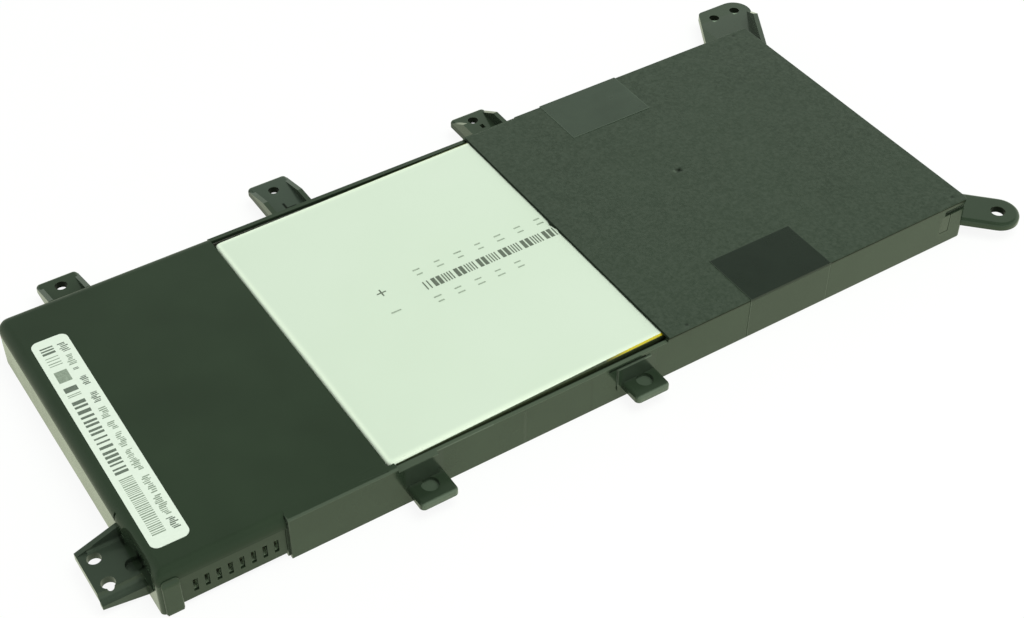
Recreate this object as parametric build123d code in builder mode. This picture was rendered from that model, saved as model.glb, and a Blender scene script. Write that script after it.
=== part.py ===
"""Laptop battery: two pouch cells in a moulded tray, with a covered board bay and a plug face.

Millimetres, +Z up. The origin is the centre of the case's underside, the plug faces -Y, and the
board bay is at the -X end.
"""

import os
from math import cos, radians, sin, tan

from build123d import *

os.makedirs("parts", exist_ok=True)

# Pouch cells
cell_length = 75.0
cell_width = 81.2
cell_thickness = 9.95
cell_corner_radius = 1.6
cell_edge_radius = 0.7
terrace_length = 4.4
terrace_thickness = 0.3
seal_fold_thickness = 0.2
seal_fold_bottom = 6.0
seal_fold_height = 4.2
edge_tape_thickness = 0.1
edge_tape_height = 5.2
cell_spacing = 2.2
adhesive_thickness = 0.2
adhesive_margin = 3.0

# Tray
floor_thickness = 1.0
side_wall = 1.1
front_wall = 1.0
back_wall = 1.1
front_gap = 0.6
wire_gap = 1.2
end_gap = 0.7
cover_length = 51.4
cover_edge_radius = 2.4
cover_top_thickness = 0.9
cover_wall = 1.0
cover_to_cell = 0.2
cover_seam = 0.05
bay_rim = 8.6
open_rim_drop = 0.65
front_corner_radius = 1.0
back_corner_radius = 2.8
end_corner_radius = 1.2
foot_edge_radius = 0.3
step_start = 27.8
step_depth = 0.85
step_edge = 0.35
step_past_cover = 1.4
post_depth = 0.5
slit_from_front = 20.1
slit_width = 0.6
slit_depth = 0.6

# Film, tapes and label
film_thickness = 0.4
film_clearance = 0.1
film_overlap = 5.5
film_notch_length = 14.8
film_notch_depth = 0.6
tape_thickness = 0.1
tape_width = 23.2
tape_reach = 15.3
tape_from_left = 143.95
tape_foot_clearance = 0.4
label_width = 8.25
label_length = 66.2
label_radius = 1.7
label_from_left = 7.1
label_from_front = 39.6
label_turn = -0.75

# Screw lugs and ears
lug_bottom = 3.2
lug_thickness = 1.8
lug_corner_radius = 1.1
rib_thickness = 1.2
lug_edge_radius = 0.8
front_hole_radius = 1.95
front_hole_depth = 1.0
pad_depth = 0.3
pad_top = 9.4
pad_groove_shift = 2.2
pad_groove_height = 0.6
pad_groove_depth = 0.5
square_hole_length = 2.0
square_hole_width = 1.6
square_hole_from_end = 6.8
square_hole_from_centre = 0.3

# Front-left ear
left_ear_reach = 9.4
left_ear_start = 6.2
left_ear_width = 13.6
left_ear_web = 1.3
left_ear_web_drop = 2.8
left_ear_web_rise = 1.6
left_ear_web_radius = 2.0
left_ear_rib_rise = 3.4
left_ear_holes_from_wall = 6.5
left_ear_first_hole = 3.3
ear_hole_spacing = 7.0
left_ear_hole_radius = 1.5
left_ear_relief_depth = 0.9
left_ear_relief_start = 2.4
left_ear_relief_width = 14.0
left_ear_corner = 0.8
relief_backing = 0.9
relief_backing_margin = 1.0
root_recess_radius = 1.8
root_recess_from_wall = 0.45
root_recess_depth = 1.2

# Front-right ear
right_ear_radius = 5.3
right_ear_hole_radius = 1.8
right_ear_out = 9.2
right_ear_forward = 2.2
right_ear_angle = -46.0
right_ear_edge_radius = 1.0
latch_slot_length = 7.0
latch_slot_bottom = 8.8
latch_slot_height = 1.6
latch_slot_depth = 0.7
latch_groove_from_right = 5.0
latch_groove_width = 2.7
latch_groove_height = 5.0
latch_groove_depth = 0.5

# Back-right ear
back_ear_width = 14.8
back_ear_lean = 60.6
back_ear_reach = 19.7
back_ear_from_right = 11.3
back_ear_hole_radius = 1.35
back_ear_hole_reach = 15.6
back_ear_first_hole_out = 2.45
back_ear_inner_radius = 1.6
back_ear_outer_radius = 4.7
back_ear_rib_rise = 4.6
back_ear_rib_run = 8.0

# Plug
slot_count = 8
slot_pitch = 2.5
slot_width = 1.0
slot_height = 3.4
slot_depth = 7.6
first_slot = 3.25
slot_sill = 1.2
plug_start = 4.4
plug_length = 23.0
plug_depth = 8.5
plug_recess = 0.1
plug_clearance = 0.1
plug_sill = 1.2
plug_sill_thickness = 0.6
contact_length = 6.0
contact_height = 2.5
contact_leaf = 0.25
contact_clearance = 0.05
contact_bridge = 0.4
contact_tail = 2.8
tail_width = 0.6
tail_thickness = 0.35

# Circuit board
board_thickness = 0.8
board_height = 4.4
board_clearance = 0.4
board_back_clearance = 6.0
board_post_radius = 1.7
board_pin_radius = 0.8
board_pin_clearance = 0.1
board_pin_stand = 0.5
post_from_board_left = 3.6
post_from_board_right = 7.2
post_from_board_front = 5.0
post_from_board_back = 4.0
post_from_strips = 8.0
divider_thickness = 1.0
divider_clearance = 0.6
tab_level = 6.1
tab_width = 6.0
tab_thickness = 0.2
tab_landing = 3.6
tab_bend = 1.0
tab_first = 27.0
tab_second = 58.0
strip_thickness = 0.2
strip_bottom = 4.2
strip_width = 2.7
strip_gap = 0.5
strip_lane = 0.6
strip_spacing = 0.9
strip_foot_length = 5.0
strip_foot_overlap = 3.4
sheet_thickness = 0.2
sheet_margin = 1.5

# Worked out from the sizes above
case_length = (cover_length + cover_to_cell + 2 * cell_length + cell_spacing + terrace_length
               + end_gap + side_wall)
case_width = front_wall + front_gap + cell_width + wire_gap + back_wall
cell_bottom = floor_thickness + adhesive_thickness
cell_top = cell_bottom + cell_thickness
film_seat = cell_top + film_clearance
case_height = film_seat + film_thickness
open_rim = film_seat - open_rim_drop
lug_top = lug_bottom + lug_thickness
left = -case_length / 2
right = case_length / 2
front = -case_width / 2
back = case_width / 2
cover_end = left + cover_length
cell_left_start = cover_end + cover_to_cell
film_start = cell_left_start + cell_length - film_overlap
cell_right_start = cell_left_start + cell_length + cell_spacing + terrace_length
cell_front = front + front_wall + front_gap
cell_back = cell_front + cell_width
inner_back = back - back_wall
inner_right = right - side_wall
divider_right = cell_left_start - terrace_length - divider_clearance
divider_left = divider_right - divider_thickness
board_left = left + side_wall + relief_backing + board_clearance
board_right = divider_left - board_clearance
board_front = front + plug_recess + plug_depth + board_clearance
board_back = inner_back - board_back_clearance
board_top = board_height + board_thickness
plug_left = left + plug_start + plug_clearance
plug_right = left + plug_start + plug_length - plug_clearance
plug_face = front + plug_recess
plug_back = plug_face + plug_depth
plug_bottom = plug_sill + plug_sill_thickness
plug_top = bay_rim - plug_clearance
step_left = left + step_start
step_face = front - step_depth
step_end = cover_end + step_past_cover
relief_low = front + left_ear_relief_start
relief_high = relief_low + left_ear_relief_width
strip_top = strip_bottom + 2 * strip_width + strip_gap
tab_places = {"positive": front + tab_second, "negative": front + tab_first}


def block(x_low, x_high, y_low, y_high, z_low, z_high, mode=Mode.ADD):
    """A straight block between two opposite corners."""
    with Locations((x_low, y_low, z_low)):
        Box(
            x_high - x_low,
            y_high - y_low,
            z_high - z_low,
            align=(Align.MIN, Align.MIN, Align.MIN),
            mode=mode,
        )


def prism(plane, points, amount, mode=Mode.ADD):
    """A straight-sided outline on a plane, pushed out by an amount."""
    with BuildSketch(plane) as outline:
        with BuildLine():
            Polyline(*points, close=True)
        make_face()
    extrude(outline.sketch, amount=amount, mode=mode)


def bore(x, y, radius, z_low=lug_bottom, z_high=lug_top):
    """A round hole through a lug, or a round seat in it between two heights."""
    with Locations((x, y, z_low)):
        Cylinder(
            radius,
            z_high - z_low,
            align=(Align.CENTER, Align.CENTER, Align.MIN),
            mode=Mode.SUBTRACT,
        )


def case_block(height):
    """The case's outline with its four corner radii, pushed up, with a rounded foot edge."""
    with BuildPart(mode=Mode.PRIVATE) as case:
        with BuildSketch() as plan:
            Rectangle(case_length, case_width)
            left_corners = plan.vertices().group_by(Axis.X)[0].sort_by(Axis.Y)
            fillet(left_corners[0], front_corner_radius)
            left_corners = plan.vertices().group_by(Axis.X)[0].sort_by(Axis.Y)
            fillet(left_corners[-1], back_corner_radius)
            fillet(plan.vertices().group_by(Axis.X)[-1], end_corner_radius)
        extrude(amount=height)
        fillet(case.edges().group_by(Axis.Z)[0], foot_edge_radius)
    return case.part


def lug_plate(corners, corner_radius, wall_edge):
    """A lug's plate: two rounded corners away from the wall, and a rounded top edge round them."""
    with BuildPart(mode=Mode.PRIVATE) as plate:
        with BuildSketch(Plane.XY.offset(lug_bottom)) as plan:
            with BuildLine():
                Polyline(*corners, close=True)
            make_face()
            free_corners = [v for v in plan.vertices() if abs(v.Y - wall_edge) > corner_radius]
            fillet(free_corners, corner_radius)
        extrude(amount=lug_thickness)
        rim = plate.faces().sort_by(Axis.Z)[-1].outer_wire().edges()
        fillet([edge for edge in rim if abs(edge.center().Y - wall_edge) > lug_edge_radius], lug_edge_radius)
    return plate.part


def front_lug(start, width, reach, hole_from_start, hole_from_end):
    """A flat lug on the front wall, with a blind seat for a locating peg."""
    end = front - reach
    root = front + front_wall / 2
    corners = [(start, root), (start, end), (start + width, end), (start + width, root)]
    add(lug_plate(corners, lug_corner_radius, root))
    seat_bottom = lug_top - front_hole_depth
    bore(start + hole_from_start, end + hole_from_end, front_hole_radius, seat_bottom)


def lug_pad(pad_left, pad_right):
    """A raised pad on the front wall behind a lug, with a groove in the wall along its top."""
    block(pad_left, pad_right, front - pad_depth, front + front_wall, lug_bottom, pad_top)
    block(
        pad_left - pad_groove_shift,
        pad_right - pad_groove_shift + lug_edge_radius,
        front,
        front + pad_groove_depth,
        pad_top,
        pad_top + pad_groove_height,
        mode=Mode.SUBTRACT,
    )


def back_lug(centre, width, reach, hole_from_end, hole_radius, rib_rise, rib_run):
    """A lug on the back wall: a plate between two ribs that climb towards the wall."""
    end = back + reach
    root = back - back_wall / 2
    lug_left = centre - width / 2
    lug_right = centre + width / 2
    corners = [(lug_left, root), (lug_right, root), (lug_right, end), (lug_left, end)]
    add(lug_plate(corners, lug_corner_radius, root))
    rib_end = end - lug_corner_radius
    rib_top = lug_top + rib_rise
    rib_profile = [
        (root, lug_bottom),
        (rib_end, lug_bottom),
        (rib_end, lug_top - lug_edge_radius / 2),
        (end - rib_run, rib_top),
        (root, rib_top),
    ]
    for rib_left in (lug_left, lug_right - rib_thickness):
        prism(Plane.YZ.offset(rib_left), rib_profile, rib_thickness)
    bore(centre, end - hole_from_end, hole_radius)


def left_ear():
    """The ear at the plug end: a plate with a rounded front web and a rib at its back."""
    outer = left - left_ear_reach
    root = left + side_wall / 2
    ear_front = front + left_ear_start
    ear_back = ear_front + left_ear_width
    web_back = ear_front + left_ear_web
    web_bottom = lug_bottom - left_ear_web_drop
    with BuildSketch(Plane.YZ.offset(outer)) as section:
        with BuildLine():
            Polyline(
                (ear_front, lug_top - left_ear_web_radius),
                (ear_front, web_bottom),
                (web_back, web_bottom),
                (web_back, lug_bottom),
                (ear_back, lug_bottom),
                (ear_back, lug_top),
                (ear_front + left_ear_web_radius, lug_top),
            )
            RadiusArc(
                (ear_front + left_ear_web_radius, lug_top),
                (ear_front, lug_top - left_ear_web_radius),
                left_ear_web_radius,
            )
        make_face()
    extrude(section.sketch, amount=root - outer)
    prism(
        Plane.XZ.offset(-web_back),
        [(outer, web_bottom), (left, web_bottom), (outer, web_bottom + left_ear_web_rise)],
        left_ear_web,
        mode=Mode.SUBTRACT,
    )
    prism(
        Plane.XZ.offset(-ear_back),
        [
            (outer, lug_bottom),
            (root, lug_bottom),
            (root, lug_top + left_ear_rib_rise),
            (left, lug_top + left_ear_rib_rise),
            (outer, lug_top),
        ],
        rib_thickness,
    )
    rib_face = ear_back - rib_thickness
    soft_start = outer + left_ear_reach * left_ear_corner / left_ear_rib_rise
    with BuildSketch(Plane.YZ.offset(soft_start)) as soft_corner:
        with BuildLine():
            RadiusArc(
                (rib_face - left_ear_corner, lug_top),
                (rib_face, lug_top + left_ear_corner),
                -left_ear_corner,
            )
            Polyline(
                (rib_face, lug_top + left_ear_corner),
                (rib_face, lug_top),
                (rib_face - left_ear_corner, lug_top),
            )
        make_face()
    extrude(soft_corner.sketch, amount=root - soft_start)
    hole_x = left - left_ear_holes_from_wall
    first_hole_y = ear_front + left_ear_first_hole
    for hole in range(2):
        hole_y = first_hole_y + hole * ear_hole_spacing
        bore(hole_x, hole_y, left_ear_hole_radius)


def root_recess():
    """The round blind recess where the left ear's plate meets the relieved wall."""
    recess_y = front + left_ear_start + left_ear_first_hole + left_ear_hole_radius
    with BuildSketch(Plane.XY.offset(lug_top - root_recess_depth)) as recess:
        with Locations((left - root_recess_from_wall, recess_y)):
            Circle(root_recess_radius)
        with Locations((left + left_ear_relief_depth, recess_y)):
            Rectangle(
                2 * root_recess_radius,
                2 * root_recess_radius,
                align=(Align.MIN, Align.CENTER),
                mode=Mode.SUBTRACT,
            )
    extrude(recess.sketch, amount=root_recess_depth, mode=Mode.SUBTRACT)


def left_ear_relief(z_low, z_high):
    """A shallow relief with curved ends in the end wall over the ear, for a driver to pass."""
    clear = left - back_corner_radius
    deep = left + left_ear_relief_depth
    run = left_ear_relief_width / 4
    with BuildSketch(Plane.XY.offset(z_low)) as relief:
        with BuildLine():
            Spline(
                (left, relief_low),
                (deep, relief_low + run),
                tangents=((1, 1), (0, 1)),
            )
            Line((deep, relief_low + run), (deep, relief_high - run))
            Spline(
                (deep, relief_high - run),
                (left, relief_high),
                tangents=((0, 1), (-1, 1)),
            )
            Polyline((left, relief_high), (clear, relief_high), (clear, relief_low), (left, relief_low))
        make_face()
    extrude(relief.sketch, amount=z_high - z_low, mode=Mode.SUBTRACT)


def right_ear():
    """The round-ended ear that leaves the front-right corner at an angle."""
    centre = Vector(right + right_ear_out, front - right_ear_forward)
    along = Vector(cos(radians(right_ear_angle)), sin(radians(right_ear_angle)))
    across = Vector(-along.Y, along.X)
    upper = centre + across * right_ear_radius
    lower = centre - across * right_ear_radius
    tip = centre + along * right_ear_radius
    root_x = right - side_wall / 2
    root_y = front + front_wall / 2
    upper_root = upper - along * ((upper.X - root_x) / along.X)
    lower_root = lower - along * ((lower.Y - root_y) / along.Y)
    with BuildPart(mode=Mode.PRIVATE) as ear:
        with BuildSketch(Plane.XY.offset(lug_bottom)):
            with BuildLine():
                Line(upper_root, upper)
                ThreePointArc(upper, tip, lower)
                Line(lower, lower_root)
                Polyline(lower_root, (root_x, root_y), upper_root)
            make_face()
        extrude(amount=lug_thickness)
        rim = ear.faces().sort_by(Axis.Z)[-1].outer_wire().edges().sort_by(Axis.X)
        fillet(rim[-3:], right_ear_edge_radius)
    add(ear.part)
    bore(centre.X, centre.Y, right_ear_hole_radius)


def latch_slot():
    """The slot at the front-right corner's top, and the groove that drops from its left end."""
    block(
        right - latch_slot_length,
        right,
        front,
        front + latch_slot_depth,
        latch_slot_bottom,
        latch_slot_bottom + latch_slot_height,
        mode=Mode.SUBTRACT,
    )
    groove_right = right - latch_groove_from_right
    block(
        groove_right - latch_groove_width,
        groove_right,
        front,
        front + latch_groove_depth,
        latch_slot_bottom - latch_groove_height,
        latch_slot_bottom,
        mode=Mode.SUBTRACT,
    )


def back_ear():
    """The leaning ear at the back-right corner, with a rib along its outer side."""
    lean = Vector(cos(radians(back_ear_lean)), sin(radians(back_ear_lean)))
    root_y = back - back_wall / 2
    root_x = right - side_wall / 2
    top_y = back + back_ear_reach
    inner_root = Vector(right - back_ear_from_right, root_y)
    inner_top = inner_root + lean * ((top_y - root_y) / lean.Y)
    outer_top = inner_top + Vector(back_ear_width / lean.Y, 0)
    outer_root = outer_top - lean * ((outer_top.X - root_x) / lean.X)
    with BuildSketch(Plane.XY.offset(lug_bottom)) as plan:
        with BuildLine():
            Polyline(inner_root, inner_top, outer_top, outer_root, (root_x, root_y), close=True)
        make_face()
        top_corners = plan.vertices().group_by(Axis.Y)[-1].sort_by(Axis.X)
        fillet(top_corners[0], back_ear_inner_radius)
        top_corners = plan.vertices().group_by(Axis.Y)[-1].sort_by(Axis.X)
        fillet(top_corners[-1], back_ear_outer_radius)
    extrude(plan.sketch, amount=lug_thickness)
    rib_plane = Plane(
        origin=(outer_root.X, outer_root.Y, 0),
        x_dir=(lean.X, lean.Y, 0),
        z_dir=(lean.Y, -lean.X, 0),
    )
    edge_length = (outer_top - outer_root).length
    rib_length = edge_length - back_ear_outer_radius / tan(radians(back_ear_lean) / 2)
    prism(
        rib_plane.offset(-rib_thickness),
        [
            (0, lug_bottom),
            (rib_length, lug_bottom),
            (rib_length, lug_top),
            (rib_length - back_ear_rib_run, lug_top + back_ear_rib_rise),
            (0, lug_top + back_ear_rib_rise),
        ],
        rib_thickness,
    )
    hole_y = back + back_ear_hole_reach
    for hole in range(2):
        hole_x = right + back_ear_first_hole_out + hole * ear_hole_spacing
        bore(hole_x, hole_y, back_ear_hole_radius)


# Front lugs, from the case's left end: start, width, reach, hole from the start and from the end
front_lugs = [(54.5, 9.0, 6.85, 4.45, 4.25), (108.9, 8.9, 6.1, 4.7, 4.05)]
pad_shift = 1.3

# Back lugs: centre, width, reach, hole from the end, hole radius, the ribs' rise and its length
back_lugs = [
    (18.45, 10.1, 13.2, 3.5, 1.45, 2.0, 9.3),
    (75.35, 10.5, 18.5, 4.3, 1.3, 1.8, 9.5),
    (131.4, 10.2, 15.3, 3.4, 1.3, 2.9, 7.0),
]

# Board posts near the board's corners, the last one clear of the strips' feet
board_posts = [
    (board_left + post_from_board_left, board_front + post_from_board_front),
    (board_right - post_from_board_right, board_front + post_from_board_front),
    (board_left + post_from_board_left, board_back - post_from_board_back),
    (board_right - post_from_board_right, board_back - post_from_strips),
]

with BuildPart() as tray:
    add(case_block(film_seat))
    for start, width, reach, hole_from_start, hole_from_end in front_lugs:
        front_lug(left + start, width, reach, hole_from_start, hole_from_end)
    for centre, width, reach, hole_from_end, hole_radius, rib_rise, rib_run in back_lugs:
        back_lug(left + centre, width, reach, hole_from_end, hole_radius, rib_rise, rib_run)
    left_ear()
    right_ear()
    back_ear()
    block(left, cover_end, front, back, bay_rim, film_seat, mode=Mode.SUBTRACT)
    block(cover_end, film_start, front, back, open_rim, film_seat, mode=Mode.SUBTRACT)
    block(
        left + side_wall,
        inner_right,
        front + front_wall,
        inner_back,
        floor_thickness,
        film_seat,
        mode=Mode.SUBTRACT,
    )
    prism(
        Plane.YZ.offset(step_left),
        [
            (step_face, 0),
            (front + front_wall, 0),
            (front + front_wall, case_height),
            (step_face + step_edge, case_height),
            (step_face, case_height - step_edge),
        ],
        step_end - step_left,
    )
    first_lug_end = left + front_lugs[0][0] + front_lugs[0][1] - pad_shift
    block(step_end, first_lug_end, step_face, front + front_wall, 0, open_rim)
    lug_pad(left + front_lugs[1][0] - pad_shift, left + front_lugs[1][0] + front_lugs[1][1] - pad_shift)
    block(left + front_corner_radius, left + plug_start, front - post_depth, front, 0, bay_rim)
    block(
        left + side_wall,
        left + side_wall + relief_backing,
        front + front_wall,
        relief_high + relief_backing_margin,
        floor_thickness,
        bay_rim,
    )
    block(
        divider_left,
        divider_right,
        front + front_wall,
        cell_back,
        floor_thickness,
        tab_level - tab_thickness / 2,
    )
    block(
        left + side_wall,
        left + plug_start + plug_length + side_wall,
        front + front_wall,
        front + plug_recess + plug_depth + board_clearance,
        floor_thickness,
        plug_sill + plug_sill_thickness,
    )
    block(
        left + plug_start,
        left + plug_start + plug_length,
        front,
        front + plug_recess + plug_depth,
        0,
        plug_sill,
        mode=Mode.SUBTRACT,
    )
    block(
        left + plug_start,
        left + plug_start + plug_length,
        front,
        front + front_wall,
        plug_sill,
        bay_rim,
        mode=Mode.SUBTRACT,
    )
    for post_x, post_y in board_posts:
        with Locations((post_x, post_y, floor_thickness)):
            Cylinder(
                board_post_radius,
                board_height - floor_thickness,
                align=(Align.CENTER, Align.CENTER, Align.MIN),
            )
            Cylinder(
                board_pin_radius,
                board_height + board_thickness + board_pin_stand - floor_thickness,
                align=(Align.CENTER, Align.CENTER, Align.MIN),
            )
    left_ear_relief(lug_top, bay_rim)
    root_recess()
    latch_slot()
    block(
        left + back_lugs[2][0] + square_hole_from_centre,
        left + back_lugs[2][0] + square_hole_from_centre + square_hole_length / 2,
        back + back_lugs[2][2] - square_hole_from_end - square_hole_width / 2,
        back + back_lugs[2][2] - square_hole_from_end + square_hole_width / 2,
        lug_bottom,
        lug_top,
        mode=Mode.SUBTRACT,
    )
tray.part.label = "tray"
export_step(tray.part, "parts/tray.step")


def cover_shell(inset):
    """A rounded block for the cover, or for the hollow inside it at an inset."""
    high = case_height - (cover_top_thickness if inset else 0)
    with BuildPart(mode=Mode.PRIVATE) as shell:
        with Locations((left + inset, front + inset, bay_rim)):
            Box(
                2 * cover_length,
                case_width - 2 * inset,
                high - bay_rim,
                align=(Align.MIN, Align.MIN, Align.MIN),
            )
        uprights = shell.edges().filter_by(Axis.Z).group_by(Axis.X)[0].sort_by(Axis.Y)
        if front_corner_radius > inset:
            fillet(uprights[0], front_corner_radius - inset)
        uprights = shell.edges().filter_by(Axis.Z).group_by(Axis.X)[0].sort_by(Axis.Y)
        fillet(uprights[-1], back_corner_radius - inset)
        rim = shell.faces().sort_by(Axis.Z)[-1].outer_wire().edges()
        far_edge = rim.sort_by(Axis.X)[-1]
        fillet([edge for edge in rim if edge != far_edge], cover_edge_radius - inset)
    return shell.part


with BuildPart() as board_cover:
    add(cover_shell(0))
    add(cover_shell(cover_wall), mode=Mode.SUBTRACT)
    block(
        left + cover_wall,
        left + cover_wall + relief_backing,
        front + cover_wall,
        relief_high + relief_backing_margin,
        bay_rim,
        case_height - cover_top_thickness,
    )
    block(cover_end, right, front, back, bay_rim, case_height, mode=Mode.SUBTRACT)
    block(
        step_left - cover_seam,
        cover_end,
        front,
        front + front_wall + cover_seam,
        bay_rim,
        case_height,
        mode=Mode.SUBTRACT,
    )
    left_ear_relief(bay_rim, case_height)
    block(
        left,
        left + slit_depth,
        front + slit_from_front - slit_width / 2,
        front + slit_from_front + slit_width / 2,
        bay_rim,
        case_height - cover_top_thickness,
        mode=Mode.SUBTRACT,
    )
board_cover.part.label = "board_cover"
export_step(board_cover.part, "parts/board_cover.step")

with BuildPart() as film:
    with BuildSketch(Plane.XY.offset(film_seat)) as film_plan:
        with BuildLine():
            Polyline(
                (film_start, front),
                (right, front),
                (right, back),
                (film_start + film_notch_length, back),
                (film_start + film_notch_length, back - film_notch_depth),
                (film_start, back - film_notch_depth),
                close=True,
            )
        make_face()
        fillet(film_plan.vertices().group_by(Axis.X)[-1], end_corner_radius)
    extrude(amount=film_thickness)
film.part.label = "film"
export_step(film.part, "parts/film.step")


def pouch_cell(body_start):
    """A pouch cell: rounded body, flat terrace at its tab end, and side seals folded up."""
    with BuildPart(mode=Mode.PRIVATE) as pouch:
        with Locations((body_start, cell_front, cell_bottom)):
            Box(cell_length, cell_width, cell_thickness, align=(Align.MIN, Align.MIN, Align.MIN))
        fillet(pouch.edges().filter_by(Axis.Z), cell_corner_radius)
        rims = pouch.edges().group_by(Axis.Z)
        fillet(rims[0] + rims[-1], cell_edge_radius)
    add(pouch.part)
    block(
        body_start - terrace_length,
        body_start + cell_edge_radius,
        cell_front + cell_corner_radius,
        cell_back - cell_corner_radius,
        tab_level - terrace_thickness / 2,
        tab_level + terrace_thickness / 2,
    )
    for fold_start in (cell_front - seal_fold_thickness, cell_back - cell_edge_radius):
        block(
            body_start + cell_corner_radius,
            body_start + cell_length - cell_corner_radius,
            fold_start,
            fold_start + seal_fold_thickness + cell_edge_radius,
            seal_fold_bottom,
            seal_fold_bottom + seal_fold_height,
        )


with BuildPart() as cell_left:
    pouch_cell(cell_left_start)
cell_left.part.label = "cell_left"
export_step(cell_left.part, "parts/cell_left.step")

with BuildPart() as cell_right:
    pouch_cell(cell_right_start)
cell_right.part.label = "cell_right"
export_step(cell_right.part, "parts/cell_right.step")

# Double-sided sheets that hold the cells down on the floor
for name, body_start in (("left", cell_left_start), ("right", cell_right_start)):
    with BuildPart() as cell_adhesive:
        block(
            body_start + adhesive_margin,
            body_start + cell_length - adhesive_margin,
            cell_front + adhesive_margin,
            cell_back - adhesive_margin,
            floor_thickness,
            cell_bottom,
        )
    cell_adhesive.part.label = "cell_adhesive_" + name
    export_step(cell_adhesive.part, "parts/cell_adhesive_" + name + ".step")

with BuildPart() as end_foam:
    block(
        cell_right_start + cell_length,
        inner_right,
        cell_front + cell_corner_radius + adhesive_margin,
        cell_back - cell_corner_radius - adhesive_margin,
        cell_bottom + cell_edge_radius,
        cell_top - cell_edge_radius - 1,
    )
end_foam.part.label = "end_foam"
export_step(end_foam.part, "parts/end_foam.step")

# Tape along the left cell's folded side seals
tape_sides = {
    "front": cell_front - seal_fold_thickness - edge_tape_thickness,
    "back": cell_back + seal_fold_thickness,
}
for name, tape_start in tape_sides.items():
    with BuildPart() as edge_tape:
        block(
            cell_left_start + cell_corner_radius,
            cell_left_start + cell_length - cell_corner_radius,
            tape_start,
            tape_start + edge_tape_thickness,
            seal_fold_bottom - 0.3,
            seal_fold_bottom - 0.3 + edge_tape_height,
        )
    edge_tape.part.label = "edge_tape_" + name
    export_step(edge_tape.part, "parts/edge_tape_" + name + ".step")

# The left cell's tabs cross the divider and land on the board
tab_low = tab_level - tab_thickness / 2
tab_high = tab_level + tab_thickness / 2
for name, tab_place in tab_places.items():
    with BuildPart() as left_tab:
        prism(
            Plane.XZ.offset(-tab_place - tab_width / 2),
            [
                (cell_left_start - terrace_length, tab_low),
                (cell_left_start - terrace_length, tab_high),
                (board_right, tab_high),
                (board_right - tab_bend, board_top + tab_thickness),
                (board_right - tab_bend - tab_landing, board_top + tab_thickness),
                (board_right - tab_bend - tab_landing, board_top),
                (board_right - tab_bend, board_top),
                (board_right, tab_low),
            ],
            tab_width,
        )
    left_tab.part.label = "cell_left_tab_" + name
    export_step(left_tab.part, "parts/cell_left_tab_" + name + ".step")

# The right cell's tabs turn down between the cells, each on to its own strip
right_terrace_end = cell_right_start - terrace_length
strip_in_spacing = {
    "positive": right_terrace_end - strip_spacing,
    "negative": right_terrace_end - 2 * strip_spacing + strip_thickness,
}
for name, tab_place in tab_places.items():
    bend = strip_in_spacing[name]
    with BuildPart() as right_tab:
        block(
            bend,
            right_terrace_end,
            tab_place - tab_width / 2,
            tab_place + tab_width / 2,
            tab_low,
            tab_high,
        )
        block(
            bend,
            bend + tab_thickness,
            tab_place - tab_width / 2,
            tab_place + tab_width / 2,
            strip_bottom,
            tab_high,
        )
    right_tab.part.label = "cell_right_tab_" + name
    export_step(right_tab.part, "parts/cell_right_tab_" + name + ".step")

# Nickel strips: up the spacing between the cells, along the back gap, and on to the board
# Each has its tab, the heights of its run along the back, its top between the cells, and its end
return_bottom = strip_bottom + strip_width + strip_gap
strips = {
    "link_strip": ("negative", strip_bottom, return_bottom - strip_gap, board_right - 2 * strip_foot_length),
    "return_strip": ("positive", return_bottom, strip_top, board_right - 4 * strip_foot_length),
}
lane = cell_back + strip_lane
for name, (tab, run_bottom, run_top, strip_end) in strips.items():
    bend = strip_in_spacing[tab]
    with BuildPart() as strip:
        block(
            bend - strip_thickness,
            bend,
            tab_places[tab] - tab_width / 2,
            lane + strip_thickness,
            strip_bottom,
            run_top,
        )
        block(strip_end, bend, lane, lane + strip_thickness, run_bottom, run_top)
        block(
            strip_end,
            strip_end + strip_foot_length,
            lane,
            lane + strip_thickness,
            board_top,
            run_top,
        )
        block(
            strip_end,
            strip_end + strip_foot_length,
            board_back - strip_foot_overlap,
            lane + strip_thickness,
            board_top,
            board_top + strip_thickness,
        )
    strip.part.label = name
    export_step(strip.part, "parts/" + name + ".step")

with BuildPart() as circuit_board:
    block(board_left, board_right, board_front, board_back, board_height, board_top)
    for post_x, post_y in board_posts:
        bore(post_x, post_y, board_pin_radius + board_pin_clearance, board_height, board_top)
circuit_board.part.label = "circuit_board"
export_step(circuit_board.part, "parts/circuit_board.step")

# Board parts: centre from the case's left end and front, then length, width and height
board_parts = {
    "gauge_chip": (20.0, 30.0, 5.0, 5.0, 1.0),
    "protection_chip": (29.0, 44.0, 4.0, 4.0, 0.9),
    "mosfet_1": (34.0, 52.0, 3.3, 3.3, 0.9),
    "mosfet_2": (34.0, 57.0, 3.3, 3.3, 0.9),
    "fuse": (34.0, 63.0, 4.0, 3.0, 0.8),
    "sense_resistor": (33.0, 24.0, 6.3, 3.2, 0.6),
    "thermistor": (42.5, 44.0, 1.2, 2.0, 0.6),
    "capacitor_1": (13.5, 28.5, 0.8, 1.6, 0.8),
    "capacitor_2": (13.5, 32.0, 0.8, 1.6, 0.8),
    "capacitor_3": (24.0, 46.0, 0.8, 1.6, 0.8),
    "capacitor_4": (24.0, 42.5, 0.8, 1.6, 0.8),
}
for name, (from_left, from_front, length, width, height) in board_parts.items():
    with BuildPart() as board_part:
        with Locations((left + from_left, front + from_front, board_top)):
            Box(length, width, height, align=(Align.CENTER, Align.CENTER, Align.MIN))
    board_part.part.label = name
    export_step(board_part.part, "parts/" + name + ".step")

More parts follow.
